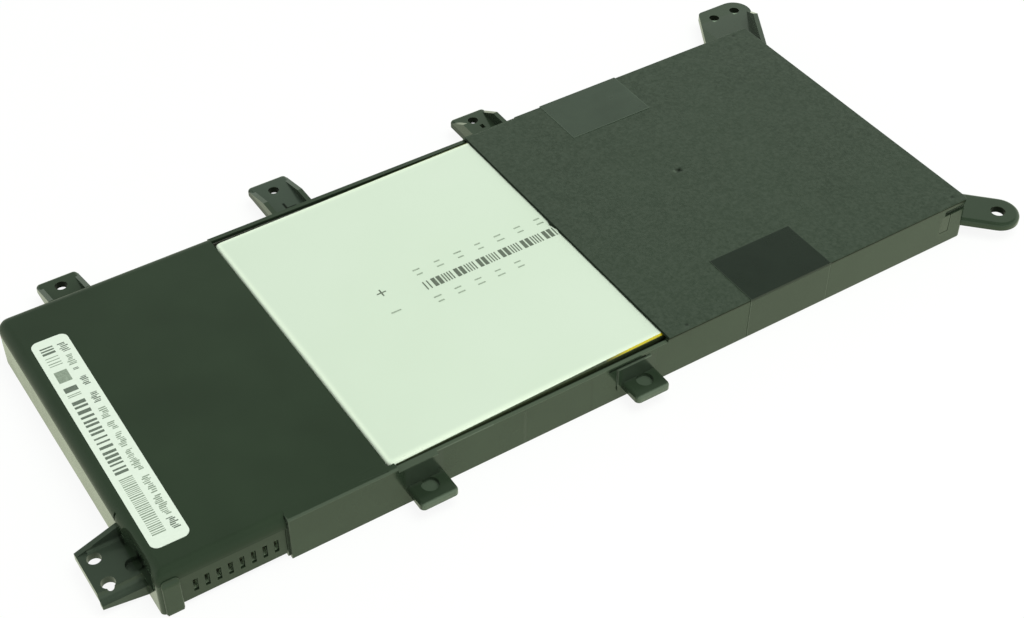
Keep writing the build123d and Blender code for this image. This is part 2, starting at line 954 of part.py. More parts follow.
slot_places = [plug_left - plug_clearance + first_slot + slot * slot_pitch for slot in range(slot_count)]
slot_bottom = plug_bottom + slot_sill
contact_bottom = slot_bottom + 0.4
slot_end = plug_face + slot_depth

with BuildPart() as connector_housing:
    block(plug_left, plug_right, plug_face, plug_back, plug_bottom, plug_top)
    block(plug_left, plug_right, plug_face, front + front_wall - plug_clearance, plug_sill, plug_bottom)
    for slot_x in slot_places:
        block(
            slot_x - slot_width / 2,
            slot_x + slot_width / 2,
            plug_face,
            slot_end,
            slot_bottom,
            slot_bottom + slot_height,
            mode=Mode.SUBTRACT,
        )
        block(
            slot_x - tail_width / 2,
            slot_x + tail_width / 2,
            slot_end,
            plug_back,
            board_top,
            board_top + tail_thickness,
            mode=Mode.SUBTRACT,
        )
connector_housing.part.label = "connector_housing"
export_step(connector_housing.part, "parts/connector_housing.step")

# Each contact: two leaves in its slot, a bridge at the back, and a tail on the board
for slot, slot_x in enumerate(slot_places):
    with BuildPart() as contact:
        leaf_out = slot_width / 2 - contact_clearance
        for leaf_left in (slot_x - leaf_out, slot_x + leaf_out - contact_leaf):
            block(
                leaf_left,
                leaf_left + contact_leaf,
                slot_end - contact_length,
                slot_end,
                contact_bottom,
                contact_bottom + contact_height,
            )
        block(
            slot_x - leaf_out,
            slot_x + leaf_out,
            slot_end - contact_bridge,
            slot_end,
            contact_bottom,
            contact_bottom + contact_height,
        )
        block(
            slot_x - tail_width / 2,
            slot_x + tail_width / 2,
            slot_end,
            plug_back + contact_tail,
            board_top,
            board_top + tail_thickness,
        )
    contact.part.label = "contact_" + str(slot + 1)
    export_step(contact.part, "parts/contact_" + str(slot + 1) + ".step")

with BuildPart() as insulating_sheet:
    block(
        left + cover_wall + sheet_margin,
        cover_end - sheet_margin,
        front + cover_wall + sheet_margin,
        back - cover_wall - sheet_margin,
        case_height - cover_top_thickness - sheet_thickness,
        case_height - cover_top_thickness,
    )
insulating_sheet.part.label = "insulating_sheet"
export_step(insulating_sheet.part, "parts/insulating_sheet.step")

# Tapes folded over the film's two long edges
for name, wall_face, inward in (("front", front, 1), ("back", back, -1)):
    with BuildPart() as tape:
        prism(
            Plane.YZ.offset(left + tape_from_left),
            [
                (wall_face + inward * tape_reach, case_height),
                (wall_face + inward * tape_reach, case_height + tape_thickness),
                (wall_face - inward * tape_thickness, case_height + tape_thickness),
                (wall_face - inward * tape_thickness, tape_foot_clearance),
                (wall_face, tape_foot_clearance),
                (wall_face, case_height),
            ],
            tape_width,
        )
    tape.part.label = name + "_tape"
    export_step(tape.part, "parts/" + name + "_tape.step")

with BuildPart() as label:
    label_plane = Plane(
        origin=(left + label_from_left, front + label_from_front, case_height),
        x_dir=(cos(radians(label_turn)), sin(radians(label_turn)), 0),
        z_dir=(0, 0, 1),
    )
    with BuildSketch(label_plane):
        RectangleRounded(label_width, label_length, label_radius)
    extrude(amount=tape_thickness)
label.part.label = "label"
export_step(label.part, "parts/label.step")
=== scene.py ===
import math
import bpy
import numpy as np
from mathutils import Matrix, Vector


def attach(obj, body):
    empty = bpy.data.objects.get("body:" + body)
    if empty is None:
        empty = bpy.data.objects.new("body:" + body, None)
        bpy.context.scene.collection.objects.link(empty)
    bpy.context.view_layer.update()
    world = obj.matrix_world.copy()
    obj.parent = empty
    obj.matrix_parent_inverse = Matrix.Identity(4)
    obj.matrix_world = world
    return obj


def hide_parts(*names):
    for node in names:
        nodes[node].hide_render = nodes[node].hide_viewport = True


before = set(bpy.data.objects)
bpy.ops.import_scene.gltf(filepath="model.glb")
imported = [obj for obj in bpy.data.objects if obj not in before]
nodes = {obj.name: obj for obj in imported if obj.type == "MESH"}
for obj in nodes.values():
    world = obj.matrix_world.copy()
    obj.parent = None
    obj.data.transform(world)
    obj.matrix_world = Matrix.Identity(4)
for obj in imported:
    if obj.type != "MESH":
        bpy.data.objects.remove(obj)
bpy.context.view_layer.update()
mm = 0.001
scene = bpy.context.scene
scene.view_settings.view_transform = "Standard"
print("frame loaded:", len(nodes), "nodes")


# camera, from a perspective solve of the case's edges

cameraSettings = {"eye": (-0.1587, -0.24795, 0.2720), "lens": 60.38, "sensor": 36, "near": 0.01,
                  "right": (0.8394, -0.5434, 0.0041), "down": (-0.3699, -0.5769, -0.7283),
                  "forward": (0.3981, 0.6098, -0.6853)}
cameraData = bpy.data.cameras.new("photoCamera")
cameraData.lens = cameraSettings["lens"]
cameraData.sensor_width = cameraSettings["sensor"]
cameraData.clip_start = cameraSettings["near"]
cameraObject = bpy.data.objects.new("photoCamera", cameraData)
scene.collection.objects.link(cameraObject)
turn = Matrix((Vector(cameraSettings["right"]), -Vector(cameraSettings["down"]),
               -Vector(cameraSettings["forward"]))).transposed().normalized()
cameraObject.matrix_world = Matrix.Translation(cameraSettings["eye"]) @ turn.to_4x4()
scene.camera = cameraObject
print("camera set")


# case frame: millimetres from the left wall, the front wall and the underside

caseLength = 210.0
caseWidth = 85.1
topHeight = 11.65
cellTop = 11.15


def toFrame(points):
    # case millimetres to the frame's metres
    return (np.asarray(points, float) - (caseLength / 2, caseWidth / 2, 0)) * mm


# material helpers

def newMaterial(name):
    material = bpy.data.materials.new(name)
    material.use_nodes = True
    tree = material.node_tree
    shader = tree.nodes["Principled BSDF"]
    return material, tree, shader


def objectPlace(tree):
    for node in tree.nodes:
        if node.bl_idname == "ShaderNodeTexCoord":
            return node.outputs["Object"]
    return tree.nodes.new("ShaderNodeTexCoord").outputs["Object"]


def objectNoise(tree, period, detail=3.0, roughness=0.55, stretch=None):
    # noise in object space, period given in millimetres
    source = objectPlace(tree)
    if stretch:
        mapping = tree.nodes.new("ShaderNodeMapping")
        mapping.inputs["Scale"].default_value = stretch
        tree.links.new(source, mapping.inputs["Vector"])
        source = mapping.outputs["Vector"]
    noise = tree.nodes.new("ShaderNodeTexNoise")
    noise.inputs["Scale"].default_value = 1000 / period
    noise.inputs["Detail"].default_value = detail
    noise.inputs["Roughness"].default_value = roughness
    tree.links.new(source, noise.inputs["Vector"])
    return noise.outputs["Fac"]


def spread(tree, value, low, high, start=0.3, end=0.7):
    ranged = tree.nodes.new("ShaderNodeMapRange")
    ranged.inputs["From Min"].default_value = start
    ranged.inputs["From Max"].default_value = end
    ranged.inputs["To Min"].default_value = low
    ranged.inputs["To Max"].default_value = high
    tree.links.new(value, ranged.inputs["Value"])
    return ranged.outputs["Result"]


def plug(tree, value, socket):
    # a link, or a plain number or colour where no link is given
    if isinstance(value, bpy.types.NodeSocket):
        tree.links.new(value, socket)
    elif socket.type == "RGBA":
        socket.default_value = (*value, 1)
    else:
        socket.default_value = value


def mixColor(tree, factor, first, second):
    mix = tree.nodes.new("ShaderNodeMix")
    mix.data_type = "RGBA"
    plug(tree, first, mix.inputs["A"])
    plug(tree, second, mix.inputs["B"])
    plug(tree, factor, mix.inputs["Factor"])
    return mix.outputs["Result"]


def maths(tree, operation, first, second):
    step = tree.nodes.new("ShaderNodeMath")
    step.operation = operation
    plug(tree, first, step.inputs[0])
    plug(tree, second, step.inputs[1])
    return step.outputs["Value"]


def lifted(color, factor):
    # the same hue, lighter or darker by a factor
    return tuple(c * factor for c in color)


def boxMask(tree, low, high, soft):
    # 1 inside a box given by two corners in case millimetres, falling to 0 within soft millimetres:
    # the largest of the three distances past the box's half sizes
    low = toFrame(low)
    high = toFrame(high)
    value = objectPlace(tree)
    steps = [("SUBTRACT", (low + high) / 2), ("ABSOLUTE", None), ("SUBTRACT", (high - low) / 2)]
    for operation, vector in steps:
        step = tree.nodes.new("ShaderNodeVectorMath")
        step.operation = operation
        tree.links.new(value, step.inputs[0])
        if vector is not None:
            step.inputs[1].default_value = tuple(vector)
        value = step.outputs["Vector"]
    split = tree.nodes.new("ShaderNodeSeparateXYZ")
    tree.links.new(value, split.inputs["Vector"])
    past = maths(tree, "MAXIMUM", split.outputs["X"], split.outputs["Y"])
    past = maths(tree, "MAXIMUM", past, split.outputs["Z"])
    return spread(tree, past, 1, 0, 0, soft * mm)


def paintPatches(tree, color, patches):
    # each patch: two corners, a soft edge, a colour and, where it isn't full, how strongly it covers
    for patch in patches:
        mask = boxMask(tree, patch["low"], patch["high"], patch["soft"])
        cover = maths(tree, "MULTIPLY", mask, patch.get("cover", 1.0))
        color = mixColor(tree, cover, color, patch["color"])
    return color


def patchShine(tree, level, patches):
    # the specular level, pulled down or up inside the patches that give one of their own
    value = level
    for patch in patches:
        if "shine" in patch:
            mask = boxMask(tree, patch["low"], patch["high"], patch["soft"])
            value = maths(tree, "MINIMUM" if patch["shine"] < level else "MAXIMUM",
                          value, spread(tree, mask, level, patch["shine"], 0, 1))
    return value


def addBump(tree, shader, layers):
    # each layer: a height field, and its depth in millimetres
    normal = None
    for height, depth in layers:
        bump = tree.nodes.new("ShaderNodeBump")
        bump.inputs["Strength"].default_value = 1.0
        bump.inputs["Distance"].default_value = depth * mm
        tree.links.new(height, bump.inputs["Height"])
        if normal:
            tree.links.new(normal, bump.inputs["Normal"])
        normal = bump.outputs["Normal"]
    tree.links.new(normal, shader.inputs["Normal"])


def noiseBumps(tree, shader, bumps):
    # each bump: a period and a depth, both in millimetres
    addBump(tree, shader, [(objectNoise(tree, period, 2.0), depth) for period, depth in bumps])


def plasticMaterial(name, settings):
    # two close tones in slow clouds, roughness that wanders with them, and a fine moulded grain
    material, tree, shader = newMaterial(name)
    wide = objectNoise(tree, settings["cloud"], 2.0)
    dark = settings["color"]
    color = mixColor(tree, spread(tree, wide, 0, 1), dark, lifted(dark, settings["colorLift"]))
    color = paintPatches(tree, color, settings.get("patches", []))
    tree.links.new(color, shader.inputs["Base Color"])
    rough = spread(tree, objectNoise(tree, settings["cloud"] * 0.6, 3.0),
                   settings["roughness"] - settings["roughVary"],
                   settings["roughness"] + settings["roughVary"])
    tree.links.new(rough, shader.inputs["Roughness"])
    shader.inputs["IOR"].default_value = 1.5
    plug(tree, patchShine(tree, settings.get("specular", 0.5), settings.get("patches", [])),
         shader.inputs["Specular IOR Level"])
    shader.inputs["Specular Tint"].default_value = (*settings.get("tint", (1, 1, 1)), 1)
    noiseBumps(tree, shader, settings["bumps"])
    return material


# moulded plastics, tapes and small parts

castGreen = (0.84, 1.0, 0.80)
seatFloor = {"soft": 0.4, "color": (0.058, 0.078, 0.056)}
mouldLine = {"soft": 0.25, "color": (0.045, 0.056, 0.041), "cover": 0.35}
# painted shade for the wall over the front lugs, and painted highlights for their front edges
lugWallShade = {"soft": 0.7, "color": (0.027, 0.037, 0.026)}
lugEdgeHighlight = {"soft": 0.35, "color": (0.090, 0.112, 0.085), "cover": 0.9}
# painted shade for the walls inside the screw holes
boreShade = {"soft": 0.05, "color": (0.006, 0.009, 0.006), "shine": 0.05}
markLine = {"soft": 0.25, "color": (0.004, 0.006, 0.004), "cover": 0.95, "shine": 0.1}
lugSide = {"soft": 0.2, "color": (0.020, 0.028, 0.020), "cover": 0.9}
trayPatches = [
    # front lugs: painted shade on the wall over them, painted highlights on their front edges, and the
    # floors of their seats in a paler colour
    {**lugWallShade, "low": (54.6, -0.95, 5.2), "high": (63.4, 0.1, 10.3)},
    {**lugWallShade, "low": (109.0, -0.4, 5.2), "high": (117.7, 0.1, 9.0)},
    {**lugEdgeHighlight, "low": (54.4, -6.9, 2.8), "high": (63.6, -6.6, 5.1)},
    {**lugEdgeHighlight, "low": (108.8, -6.2, 2.8), "high": (117.9, -5.8, 5.1)},
    {**seatFloor, "low": (56.9, -4.6, 3.9), "high": (61.0, -0.9, 4.1)},
    {**seatFloor, "low": (111.6, -4.1, 3.9), "high": (115.6, -0.4, 4.1)},
    # faint lines where the front wall's mould parts met
    {**mouldLine, "low": (83.7, -0.1, 0.4), "high": (84.1, 0.1, 9.6)},
    {**mouldLine, "low": (100.9, -0.1, 0.4), "high": (101.1, 0.1, 9.6), "color": (0.004, 0.006, 0.004)},
    # the open rim's top, painted light to make it as light as the wall, a painted highlight on its front
    # edge at the left, and painted light on the top of the step beside it
    {"low": (62.3, -0.1, 10.5), "high": (120.9, 0.8, 10.7), "soft": 0.1, "color": (0.060, 0.077, 0.054)},
    {"low": (62.3, -0.05, 10.45), "high": (76.0, 0.08, 10.65), "soft": 0.12, "color": (0.090, 0.110, 0.084),
     "cover": 0.8},
    {"low": (52.9, -0.9, 10.4), "high": (62.3, 0.8, 10.7), "soft": 0.1, "color": (0.052, 0.067, 0.048)},
    # the pad over the right lug: painted highlights on its upper and left edges, and painted light that
    # softens the shade in the groove above it
    {"low": (107.6, -0.35, 9.15), "high": (116.5, 0.0, 9.42), "soft": 0.12, "color": (0.085, 0.105, 0.080),
     "cover": 0.9},
    {"low": (107.5, -0.32, 4.5), "high": (107.8, 0.0, 9.4), "soft": 0.1, "color": (0.070, 0.085, 0.064),
     "cover": 0.9, "shine": 1.0},
    {"low": (105.2, -0.05, 9.45), "high": (115.2, 0.55, 10.0), "soft": 0.1, "color": (0.030, 0.038, 0.027),
     "cover": 0.9},
    # a painted shadow line under the film along the front wall
    {"low": (121.2, -0.1, 10.95), "high": (209.5, 0.3, 11.3), "soft": 0.12, "color": (0.010, 0.014, 0.006),
     "shine": 0.05},
    # left wall: a painted reflection of the bright floor, a lighter olive band under the edge
    {"low": (-0.1, 22.5, 0.5), "high": (0.2, 84.0, 8.4), "soft": 2.5, "color": (0.066, 0.086, 0.048),
     "shine": 1.0},
    # latch at the front right: painted light that softens the shade in its shallow recess, and a painted
    # highlight on the ledge inside the slot over it
    {"low": (202.2, -0.1, 3.6), "high": (205.2, 0.8, 8.7), "soft": 0.15, "color": (0.040, 0.050, 0.034),
     "cover": 0.9, "shine": 0.6},
    {"low": (203.0, 0.02, 8.9), "high": (210.5, 0.9, 9.3), "soft": 0.1, "color": (0.060, 0.070, 0.055)},
    # step block: painted light on its left end, stronger above the plug's slots, and a painted highlight on
    # its upper edge
    {"low": (27.6, -0.95, 8.4), "high": (27.95, 0.2, 11.8), "soft": 0.15, "color": (0.040, 0.052, 0.037),
     "shine": 0.7},
    {"low": (27.6, -0.95, 0.0), "high": (27.95, 0.2, 8.4), "soft": 0.15, "color": (0.025, 0.033, 0.023)},
    {"low": (27.9, -0.95, 11.2), "high": (62.0, -0.35, 11.7), "soft": 0.12, "color": (0.052, 0.066, 0.048),
     "cover": 0.8},
    # the middle back lug's top in a cooler shade, and the two dark lines of its moulded mark
    {"low": (70.6, 85.4, 4.9), "high": (80.2, 104.0, 5.1), "soft": 0.5, "color": (0.034, 0.046, 0.037),
     "cover": 0.8},
    {**markLine, "low": (74.75, 90.1, 4.9), "high": (75.1, 93.4, 5.1)},
    {**markLine, "low": (75.0, 91.1, 4.9), "high": (77.4, 91.5, 5.1)},
    # the left sides of the middle and right back lugs
    {**lugSide, "low": (69.5, 84.9, -1), "high": (71.6, 104.5, 4.7), "shine": 0.15},
    {**lugSide, "low": (125.6, 84.9, -1), "high": (127.9, 101.5, 4.7), "shine": 0.2},
    # painted shade in the hollows by the front left ear
    {"low": (-1.5, 9.3, 4.6), "high": (1.2, 12.2, 7.0), "soft": 0.7, "color": (0.003, 0.004, 0.003),
     "cover": 0.95, "shine": 0.05},
    {"low": (-5.5, 17.0, 4.9), "high": (0.8, 19.5, 5.4), "soft": 1.2, "color": (0.009, 0.012, 0.009),
     "cover": 0.85, "shine": 0.2},
    # right edge of the front tape, a dark thin line
    {"low": (167.12, -0.05, 0.4), "high": (167.3, 0.05, 11.0), "soft": 0.1, "color": (0.004, 0.006, 0.004),
     "cover": 0.8, "shine": 0.15},
    # the front left ear and the two right ears
    {"low": (-9.5, 6.0, 1.0), "high": (-0.5, 19.9, 9.0), "soft": 0.3, "color": (0.030, 0.040, 0.030)},
    {"low": (207.0, 60.0, 3.0), "high": (235.0, 100.0, 12.0), "soft": 0.3, "color": (0.026, 0.036, 0.026)},
]
# screw holes that go through, as place and radius: painted shade on their walls, and a painted highlight on
# an edge of each of the leaning ear's two
throughHoles = {"cornerEar": [(219.2, -2.2, 1.8)],
                "leaningEar": [(212.45, 100.7, 1.35), (219.45, 100.7, 1.35)],
                "backLugs": [(18.45, 94.8, 1.45), (75.35, 99.3, 1.3), (131.4, 97.0, 1.3)]}
boreMargin = 0.1
for holes in throughHoles.values():
    for x, y, radius in holes:
        reach = radius + boreMargin
        trayPatches.append({**boreShade, "low": (x - reach, y - reach, 3.0),
                            "high": (x + reach, y + reach, 4.85)})
for x, y, radius in throughHoles["leaningEar"]:
    trayPatches.append({"low": (x - 1.05, y - 1.35, 4.9), "high": (x - 0.35, y - 0.95, 5.1), "soft": 0.35,
                        "color": (0.22, 0.28, 0.21), "cover": 0.8})
plugPatches = [  # the slots' insides, paler than the face
    {"low": (4.0, 0.75, 1.5), "high": (28.0, 9.0, 8.3), "soft": 0.1, "color": (0.26, 0.32, 0.23)},
]
plasticSettings = {
    "trayPlastic": {"color": (0.018, 0.028, 0.017), "colorLift": 1.25, "roughness": 0.17, "roughVary": 0.05,
                    "cloud": 14, "tint": castGreen, "patches": trayPatches,
                    "bumps": [(22.0, 0.040), (0.35, 0.0012)]},
    "coverPlastic": {"color": (0.017, 0.027, 0.016), "colorLift": 1.2, "roughness": 0.44, "roughVary": 0.04,
                     "cloud": 18, "tint": castGreen, "specular": 0.26,
                     "bumps": [(14.0, 0.030), (0.30, 0.0030)]},
    "plugPlastic": {"color": (0.014, 0.022, 0.013), "colorLift": 1.2, "roughness": 0.36, "roughVary": 0.05,
                    "cloud": 6, "tint": castGreen, "patches": plugPatches, "bumps": [(0.25, 0.004)]},
    "chipResin": {"color": (0.022, 0.022, 0.024), "colorLift": 1.2, "roughness": 0.55, "roughVary": 0.05,
                  "cloud": 2, "bumps": [(0.12, 0.004)]},
    "sheetBlack": {"color": (0.03, 0.03, 0.03), "colorLift": 1.2, "roughness": 0.3, "roughVary": 0.05,
                   "cloud": 9, "bumps": [(8.0, 0.03)]},
    "foamBlack": {"color": (0.03, 0.03, 0.03), "colorLift": 1.6, "roughness": 0.95, "roughVary": 0.03,
                  "cloud": 2, "bumps": [(0.4, 0.08)]},
    "adhesiveWhite": {"color": (0.62, 0.63, 0.60), "colorLift": 1.1, "roughness": 0.7, "roughVary": 0.05,
                      "cloud": 5, "bumps": [(0.5, 0.01)]},
    "fuseCeramic": {"color": (0.60, 0.58, 0.50), "colorLift": 1.1, "roughness": 0.5, "roughVary": 0.05,
                    "cloud": 2, "bumps": [(0.2, 0.004)]},
    "capacitorTan": {"color": (0.28, 0.17, 0.08), "colorLift": 1.2, "roughness": 0.4, "roughVary": 0.05,
                     "cloud": 1, "bumps": [(0.1, 0.003)]},
    "boardGreen": {"color": (0.008, 0.09, 0.03), "colorLift": 1.4, "roughness": 0.3, "roughVary": 0.06,
                   "cloud": 4, "bumps": [(0.6, 0.01)]},
}
plastics = {name: plasticMaterial(name, settings) for name, settings in plasticSettings.items()}


metalSettings = {
    "nickelPlate": {"color": (0.66, 0.63, 0.58), "roughness": 0.28, "stretch": (0.2, 1, 1)},
    "bladePlate": {"color": (0.30, 0.31, 0.24), "roughness": 0.3, "stretch": (1, 0.2, 1)},
}


def metalMaterial(name, settings):
    # brushed plate: noise drawn out along one axis
    material, tree, shader = newMaterial(name)
    shader.inputs["Metallic"].default_value = 1.0
    brushed = objectNoise(tree, 0.6, 4.0, 0.6, settings["stretch"])
    color = settings["color"]
    rough = settings["roughness"]
    tree.links.new(mixColor(tree, brushed, lifted(color, 0.8), color), shader.inputs["Base Color"])
    tree.links.new(spread(tree, brushed, rough - 0.06, rough + 0.08), shader.inputs["Roughness"])
    addBump(tree, shader, [(brushed, 0.004)])
    return material


nickel = metalMaterial("nickelPlate", metalSettings["nickelPlate"])
bladePlate = metalMaterial("bladePlate", metalSettings["bladePlate"])


filmLook = {"dark": (0.0165, 0.0252, 0.0165), "light": (0.0325, 0.0438, 0.0318), "darkLift": 1.25,
            "grain": 0.80, "grainRange": (0.36, 0.64), "grainDepth": 0.026, "wide": 22.0, "waves": 1.9,
            "wavesDepth": 0.050, "roughness": (0.44, 0.54)}
pinMark = {"soft": 0.3, "color": (0.005, 0.008, 0.005), "cover": 0.8}
filmPatches = [
    # painted shadow lines along the front edge and along the cut at the left end
    {"low": (121.0, -0.1, 11.2), "high": (209.6, 0.12, 11.42), "soft": 0.1, "color": (0.006, 0.009, 0.004),
     "shine": 0.1},
    {"low": (120.8, -0.5, 10), "high": (121.35, 84.6, 12), "soft": 0.12, "color": (0.006, 0.010, 0.006),
     "cover": 0.9, "shine": 0.1},
    # the dimple: painted shade in its pit, and a painted highlight at its left
    {"low": (158.15, 45.55, 10), "high": (158.55, 45.85, 12), "soft": 0.8, "color": (0.002, 0.004, 0.002),
     "cover": 0.95, "shine": 0.05},
    {"low": (156.9, 45.5, 10), "high": (157.2, 46.2, 12), "soft": 0.3, "color": (0.075, 0.095, 0.072),
     "cover": 0.6},
    # pressed marks near three corners
    {**pinMark, "low": (126.9, 1.2, 10), "high": (127.3, 1.6, 12)},
    {**pinMark, "low": (206.6, 2.2, 10), "high": (207.2, 2.6, 12)},
    {**pinMark, "low": (204.6, 83.3, 10), "high": (205.2, 83.9, 12), "cover": 0.6},
]


def filmMaterial(settings):
    # a slow wave of two tones, and a fine grain of specks that are darker in the pits
    material, tree, shader = newMaterial("grainedFilm")
    grain = objectNoise(tree, settings["grain"], 3.0, 0.6)
    slow = objectNoise(tree, settings["wide"], 3.0)
    paler = lifted(settings["dark"], settings["darkLift"])
    low = mixColor(tree, spread(tree, slow, 0, 1), settings["dark"], paler)
    color = mixColor(tree, spread(tree, grain, 0, 1, *settings["grainRange"]), low, settings["light"])
    tree.links.new(paintPatches(tree, color, filmPatches), shader.inputs["Base Color"])
    plug(tree, patchShine(tree, 0.5, filmPatches), shader.inputs["Specular IOR Level"])
    rough = spread(tree, objectNoise(tree, 3.0, 3.0), *settings["roughness"])
    tree.links.new(rough, shader.inputs["Roughness"])
    shader.inputs["Specular Tint"].default_value = (*castGreen, 1)
    addBump(tree, shader, [(grain, settings["grainDepth"]),
                           (objectNoise(tree, settings["waves"], 3.0), settings["wavesDepth"])])
    return material


# the border and wall border colours are painted highlights along the tapes' cut borders; the front tape's
# wall colour, lighter than its top, is painted light
tapeSettings = {
    "frontTape": {"color": (0.006, 0.010, 0.007), "border": (0.032, 0.042, 0.031),
                  "wall": (0.019, 0.029, 0.018), "wallBorderHighlight": (0.080, 0.096, 0.072), "specular": 0.34,
                  "inner": ((144.15, -1, -1), (166.95, 15.1, 20))},
    "backTape": {"color": (0.024, 0.034, 0.025), "border": (0.060, 0.078, 0.060),
                 "wall": (0.022, 0.032, 0.023), "wallBorderHighlight": (0.040, 0.050, 0.038), "specular": 0.5,
                 "inner": ((144.15, 70.0, -1), (166.95, 86, 20))},
}
tapeFinish = {"borderWidth": 0.12, "clouds": 9.0, "cloudLift": 1.25, "roughness": (0.26, 0.38),
              "wallBox": ((-10, -10, -1), (230, 100, 10.9), 0.4), "wallGloss": 0.10,
              "bumps": [(6.0, 0.020), (1.1, 0.004)]}


def tapeMaterial(name, settings):
    # smooth tape whose cut borders are painted lighter than its middle, a painted highlight; down the wall
    # it has colours of its own, lighter on the front tape as painted light, and is as glossy as the wall
    material, tree, shader = newMaterial(name)
    color = settings["color"]
    border = maths(tree, "SUBTRACT", 1.0, boxMask(tree, *settings["inner"], tapeFinish["borderWidth"]))
    clouds = spread(tree, objectNoise(tree, tapeFinish["clouds"], 3.0), 0, 1)
    middle = mixColor(tree, clouds, color, lifted(color, tapeFinish["cloudLift"]))
    wall = boxMask(tree, *tapeFinish["wallBox"])
    middle = mixColor(tree, wall, middle, settings["wall"])
    borderHighlight = mixColor(tree, wall, settings["border"], settings["wallBorderHighlight"])
    tree.links.new(mixColor(tree, border, middle, borderHighlight), shader.inputs["Base Color"])
    top = spread(tree, objectNoise(tree, 5.0, 3.0), *tapeFinish["roughness"])
    rough = maths(tree, "SUBTRACT", top, maths(tree, "MULTIPLY", wall, tapeFinish["wallGloss"]))
    tree.links.new(rough, shader.inputs["Roughness"])
    tree.links.new(spread(tree, wall, settings["specular"], 0.5, 0, 1), shader.inputs["Specular IOR Level"])
    shader.inputs["Specular Tint"].default_value = (*castGreen, 1)
    noiseBumps(tree, shader, tapeFinish["bumps"])
    return material


# the rim colour is a painted highlight along the cell's rounded edge
pouchLook = {"cool": (0.606, 0.678, 0.585), "warm": (0.626, 0.690, 0.610), "rim": (0.72, 0.785, 0.68),
             "bloom": 45.0, "roughness": (0.36, 0.46), "metallic": 0.15,
             "bumps": [(26.0, 0.03), (0.5, 0.002)]}


def pouchMaterial(settings):
    # satin laminate: slow warm clouds, and a painted highlight along the rounded edge, paler towards the rim
    material, tree, shader = newMaterial("pouchLaminate")
    bloom = spread(tree, objectNoise(tree, settings["bloom"], 2.0), 0, 1)
    face = mixColor(tree, bloom, settings["cool"], settings["warm"])
    rim = tree.nodes.new("ShaderNodeAttribute")
    rim.attribute_name = "rim"
    tree.links.new(mixColor(tree, rim.outputs["Fac"], face, settings["rim"]), shader.inputs["Base Color"])
    rough = spread(tree, objectNoise(tree, 6.0, 3.0), *settings["roughness"])
    tree.links.new(rough, shader.inputs["Roughness"])
    shader.inputs["Metallic"].default_value = settings["metallic"]
    noiseBumps(tree, shader, settings["bumps"])
    return material


paperLook = {"dark": (0.606, 0.648, 0.598), "light": (0.696, 0.738, 0.688), "roughness": (0.5, 0.62)}


def paperMaterial(settings):
    # coated paper: two close tones and a shallow relief along one fine noise
    material, tree, shader = newMaterial("labelPaper")
    fibre = objectNoise(tree, 0.7, 5.0, 0.7)
    tree.links.new(mixColor(tree, fibre, settings["dark"], settings["light"]), shader.inputs["Base Color"])
    tree.links.new(spread(tree, fibre, *settings["roughness"]), shader.inputs["Roughness"])
    addBump(tree, shader, [(fibre, 0.006)])
    return material


amberLook = {"deep": (0.44, 0.34, 0.008), "bright": (0.66, 0.54, 0.03), "back": (0.13, 0.15, 0.035),
             # the dark colour: painted shade low down in the gap under the wall's rim by the last box, and a
             # darker tone towards the left by the first two
             "backBox": ((-10, 60, 0), (230, 100, 30), 2.0), "darkAndGapShade": (0.040, 0.052, 0.026),
             "darkAndGapShadeBoxes": [((-10, -10, 0), (106, 40, 30), 6.0), ((-10, 60, 0), (78, 100, 30), 12.0),
                           ((-10, -10, 0), (230, 90, 10.72), 0.10)],
             "roughness": (0.18, 0.3), "bumps": [(3.0, 0.02)]}


def amberMaterial(settings):
    # clear amber tape, dull along the back: darker towards the left, with painted shade low down where it
    # lies in the gap under the wall's rim, and bright amber towards the right
    material, tree, shader = newMaterial("amberTape")
    wide = objectNoise(tree, 6.0, 3.0)
    warm = mixColor(tree, wide, settings["deep"], settings["bright"])
    warm = mixColor(tree, boxMask(tree, *settings["backBox"]), warm, settings["back"])
    front, back, below = [boxMask(tree, *box) for box in settings["darkAndGapShadeBoxes"]]
    darkAndGapShade = maths(tree, "MAXIMUM", maths(tree, "MAXIMUM", front, back), below)
    tree.links.new(mixColor(tree, darkAndGapShade, warm, settings["darkAndGapShade"]), shader.inputs["Base Color"])
    tree.links.new(spread(tree, wide, *settings["roughness"]), shader.inputs["Roughness"])
    noiseBumps(tree, shader, settings["bumps"])
    return material


inkWear = {"period": 0.35, "lift": 1.7, "haze": 0.02, "roughness": (0.5, 0.7)}


def inkMaterial(name, color):
    # ink with small pale places where the print is thin
    material, tree, shader = newMaterial(name)
    patchy = objectNoise(tree, inkWear["period"], 4.0, 0.7)
    thin = tuple(c + inkWear["haze"] for c in lifted(color, inkWear["lift"]))
    tree.links.new(mixColor(tree, spread(tree, patchy, 0, 1), color, thin), shader.inputs["Base Color"])
    tree.links.new(spread(tree, patchy, *inkWear["roughness"]), shader.inputs["Roughness"])
    return material


film = filmMaterial(filmLook)
pouch = pouchMaterial(pouchLook)
paper = paperMaterial(paperLook)
amber = amberMaterial(amberLook)
frontTape = tapeMaterial("frontTape", tapeSettings["frontTape"])
backTape = tapeMaterial("backTape", tapeSettings["backTape"])
labelInk = inkMaterial("labelInk", (0.075, 0.092, 0.075))
labelInkSoft = inkMaterial("labelInkSoft", (0.16, 0.19, 0.155))
labelInkPale = inkMaterial("labelInkPale", (0.34, 0.39, 0.33))
cellInk = inkMaterial("cellInk", (0.07, 0.085, 0.065))
cellInkPale = inkMaterial("cellInkPale", (0.20, 0.235, 0.19))

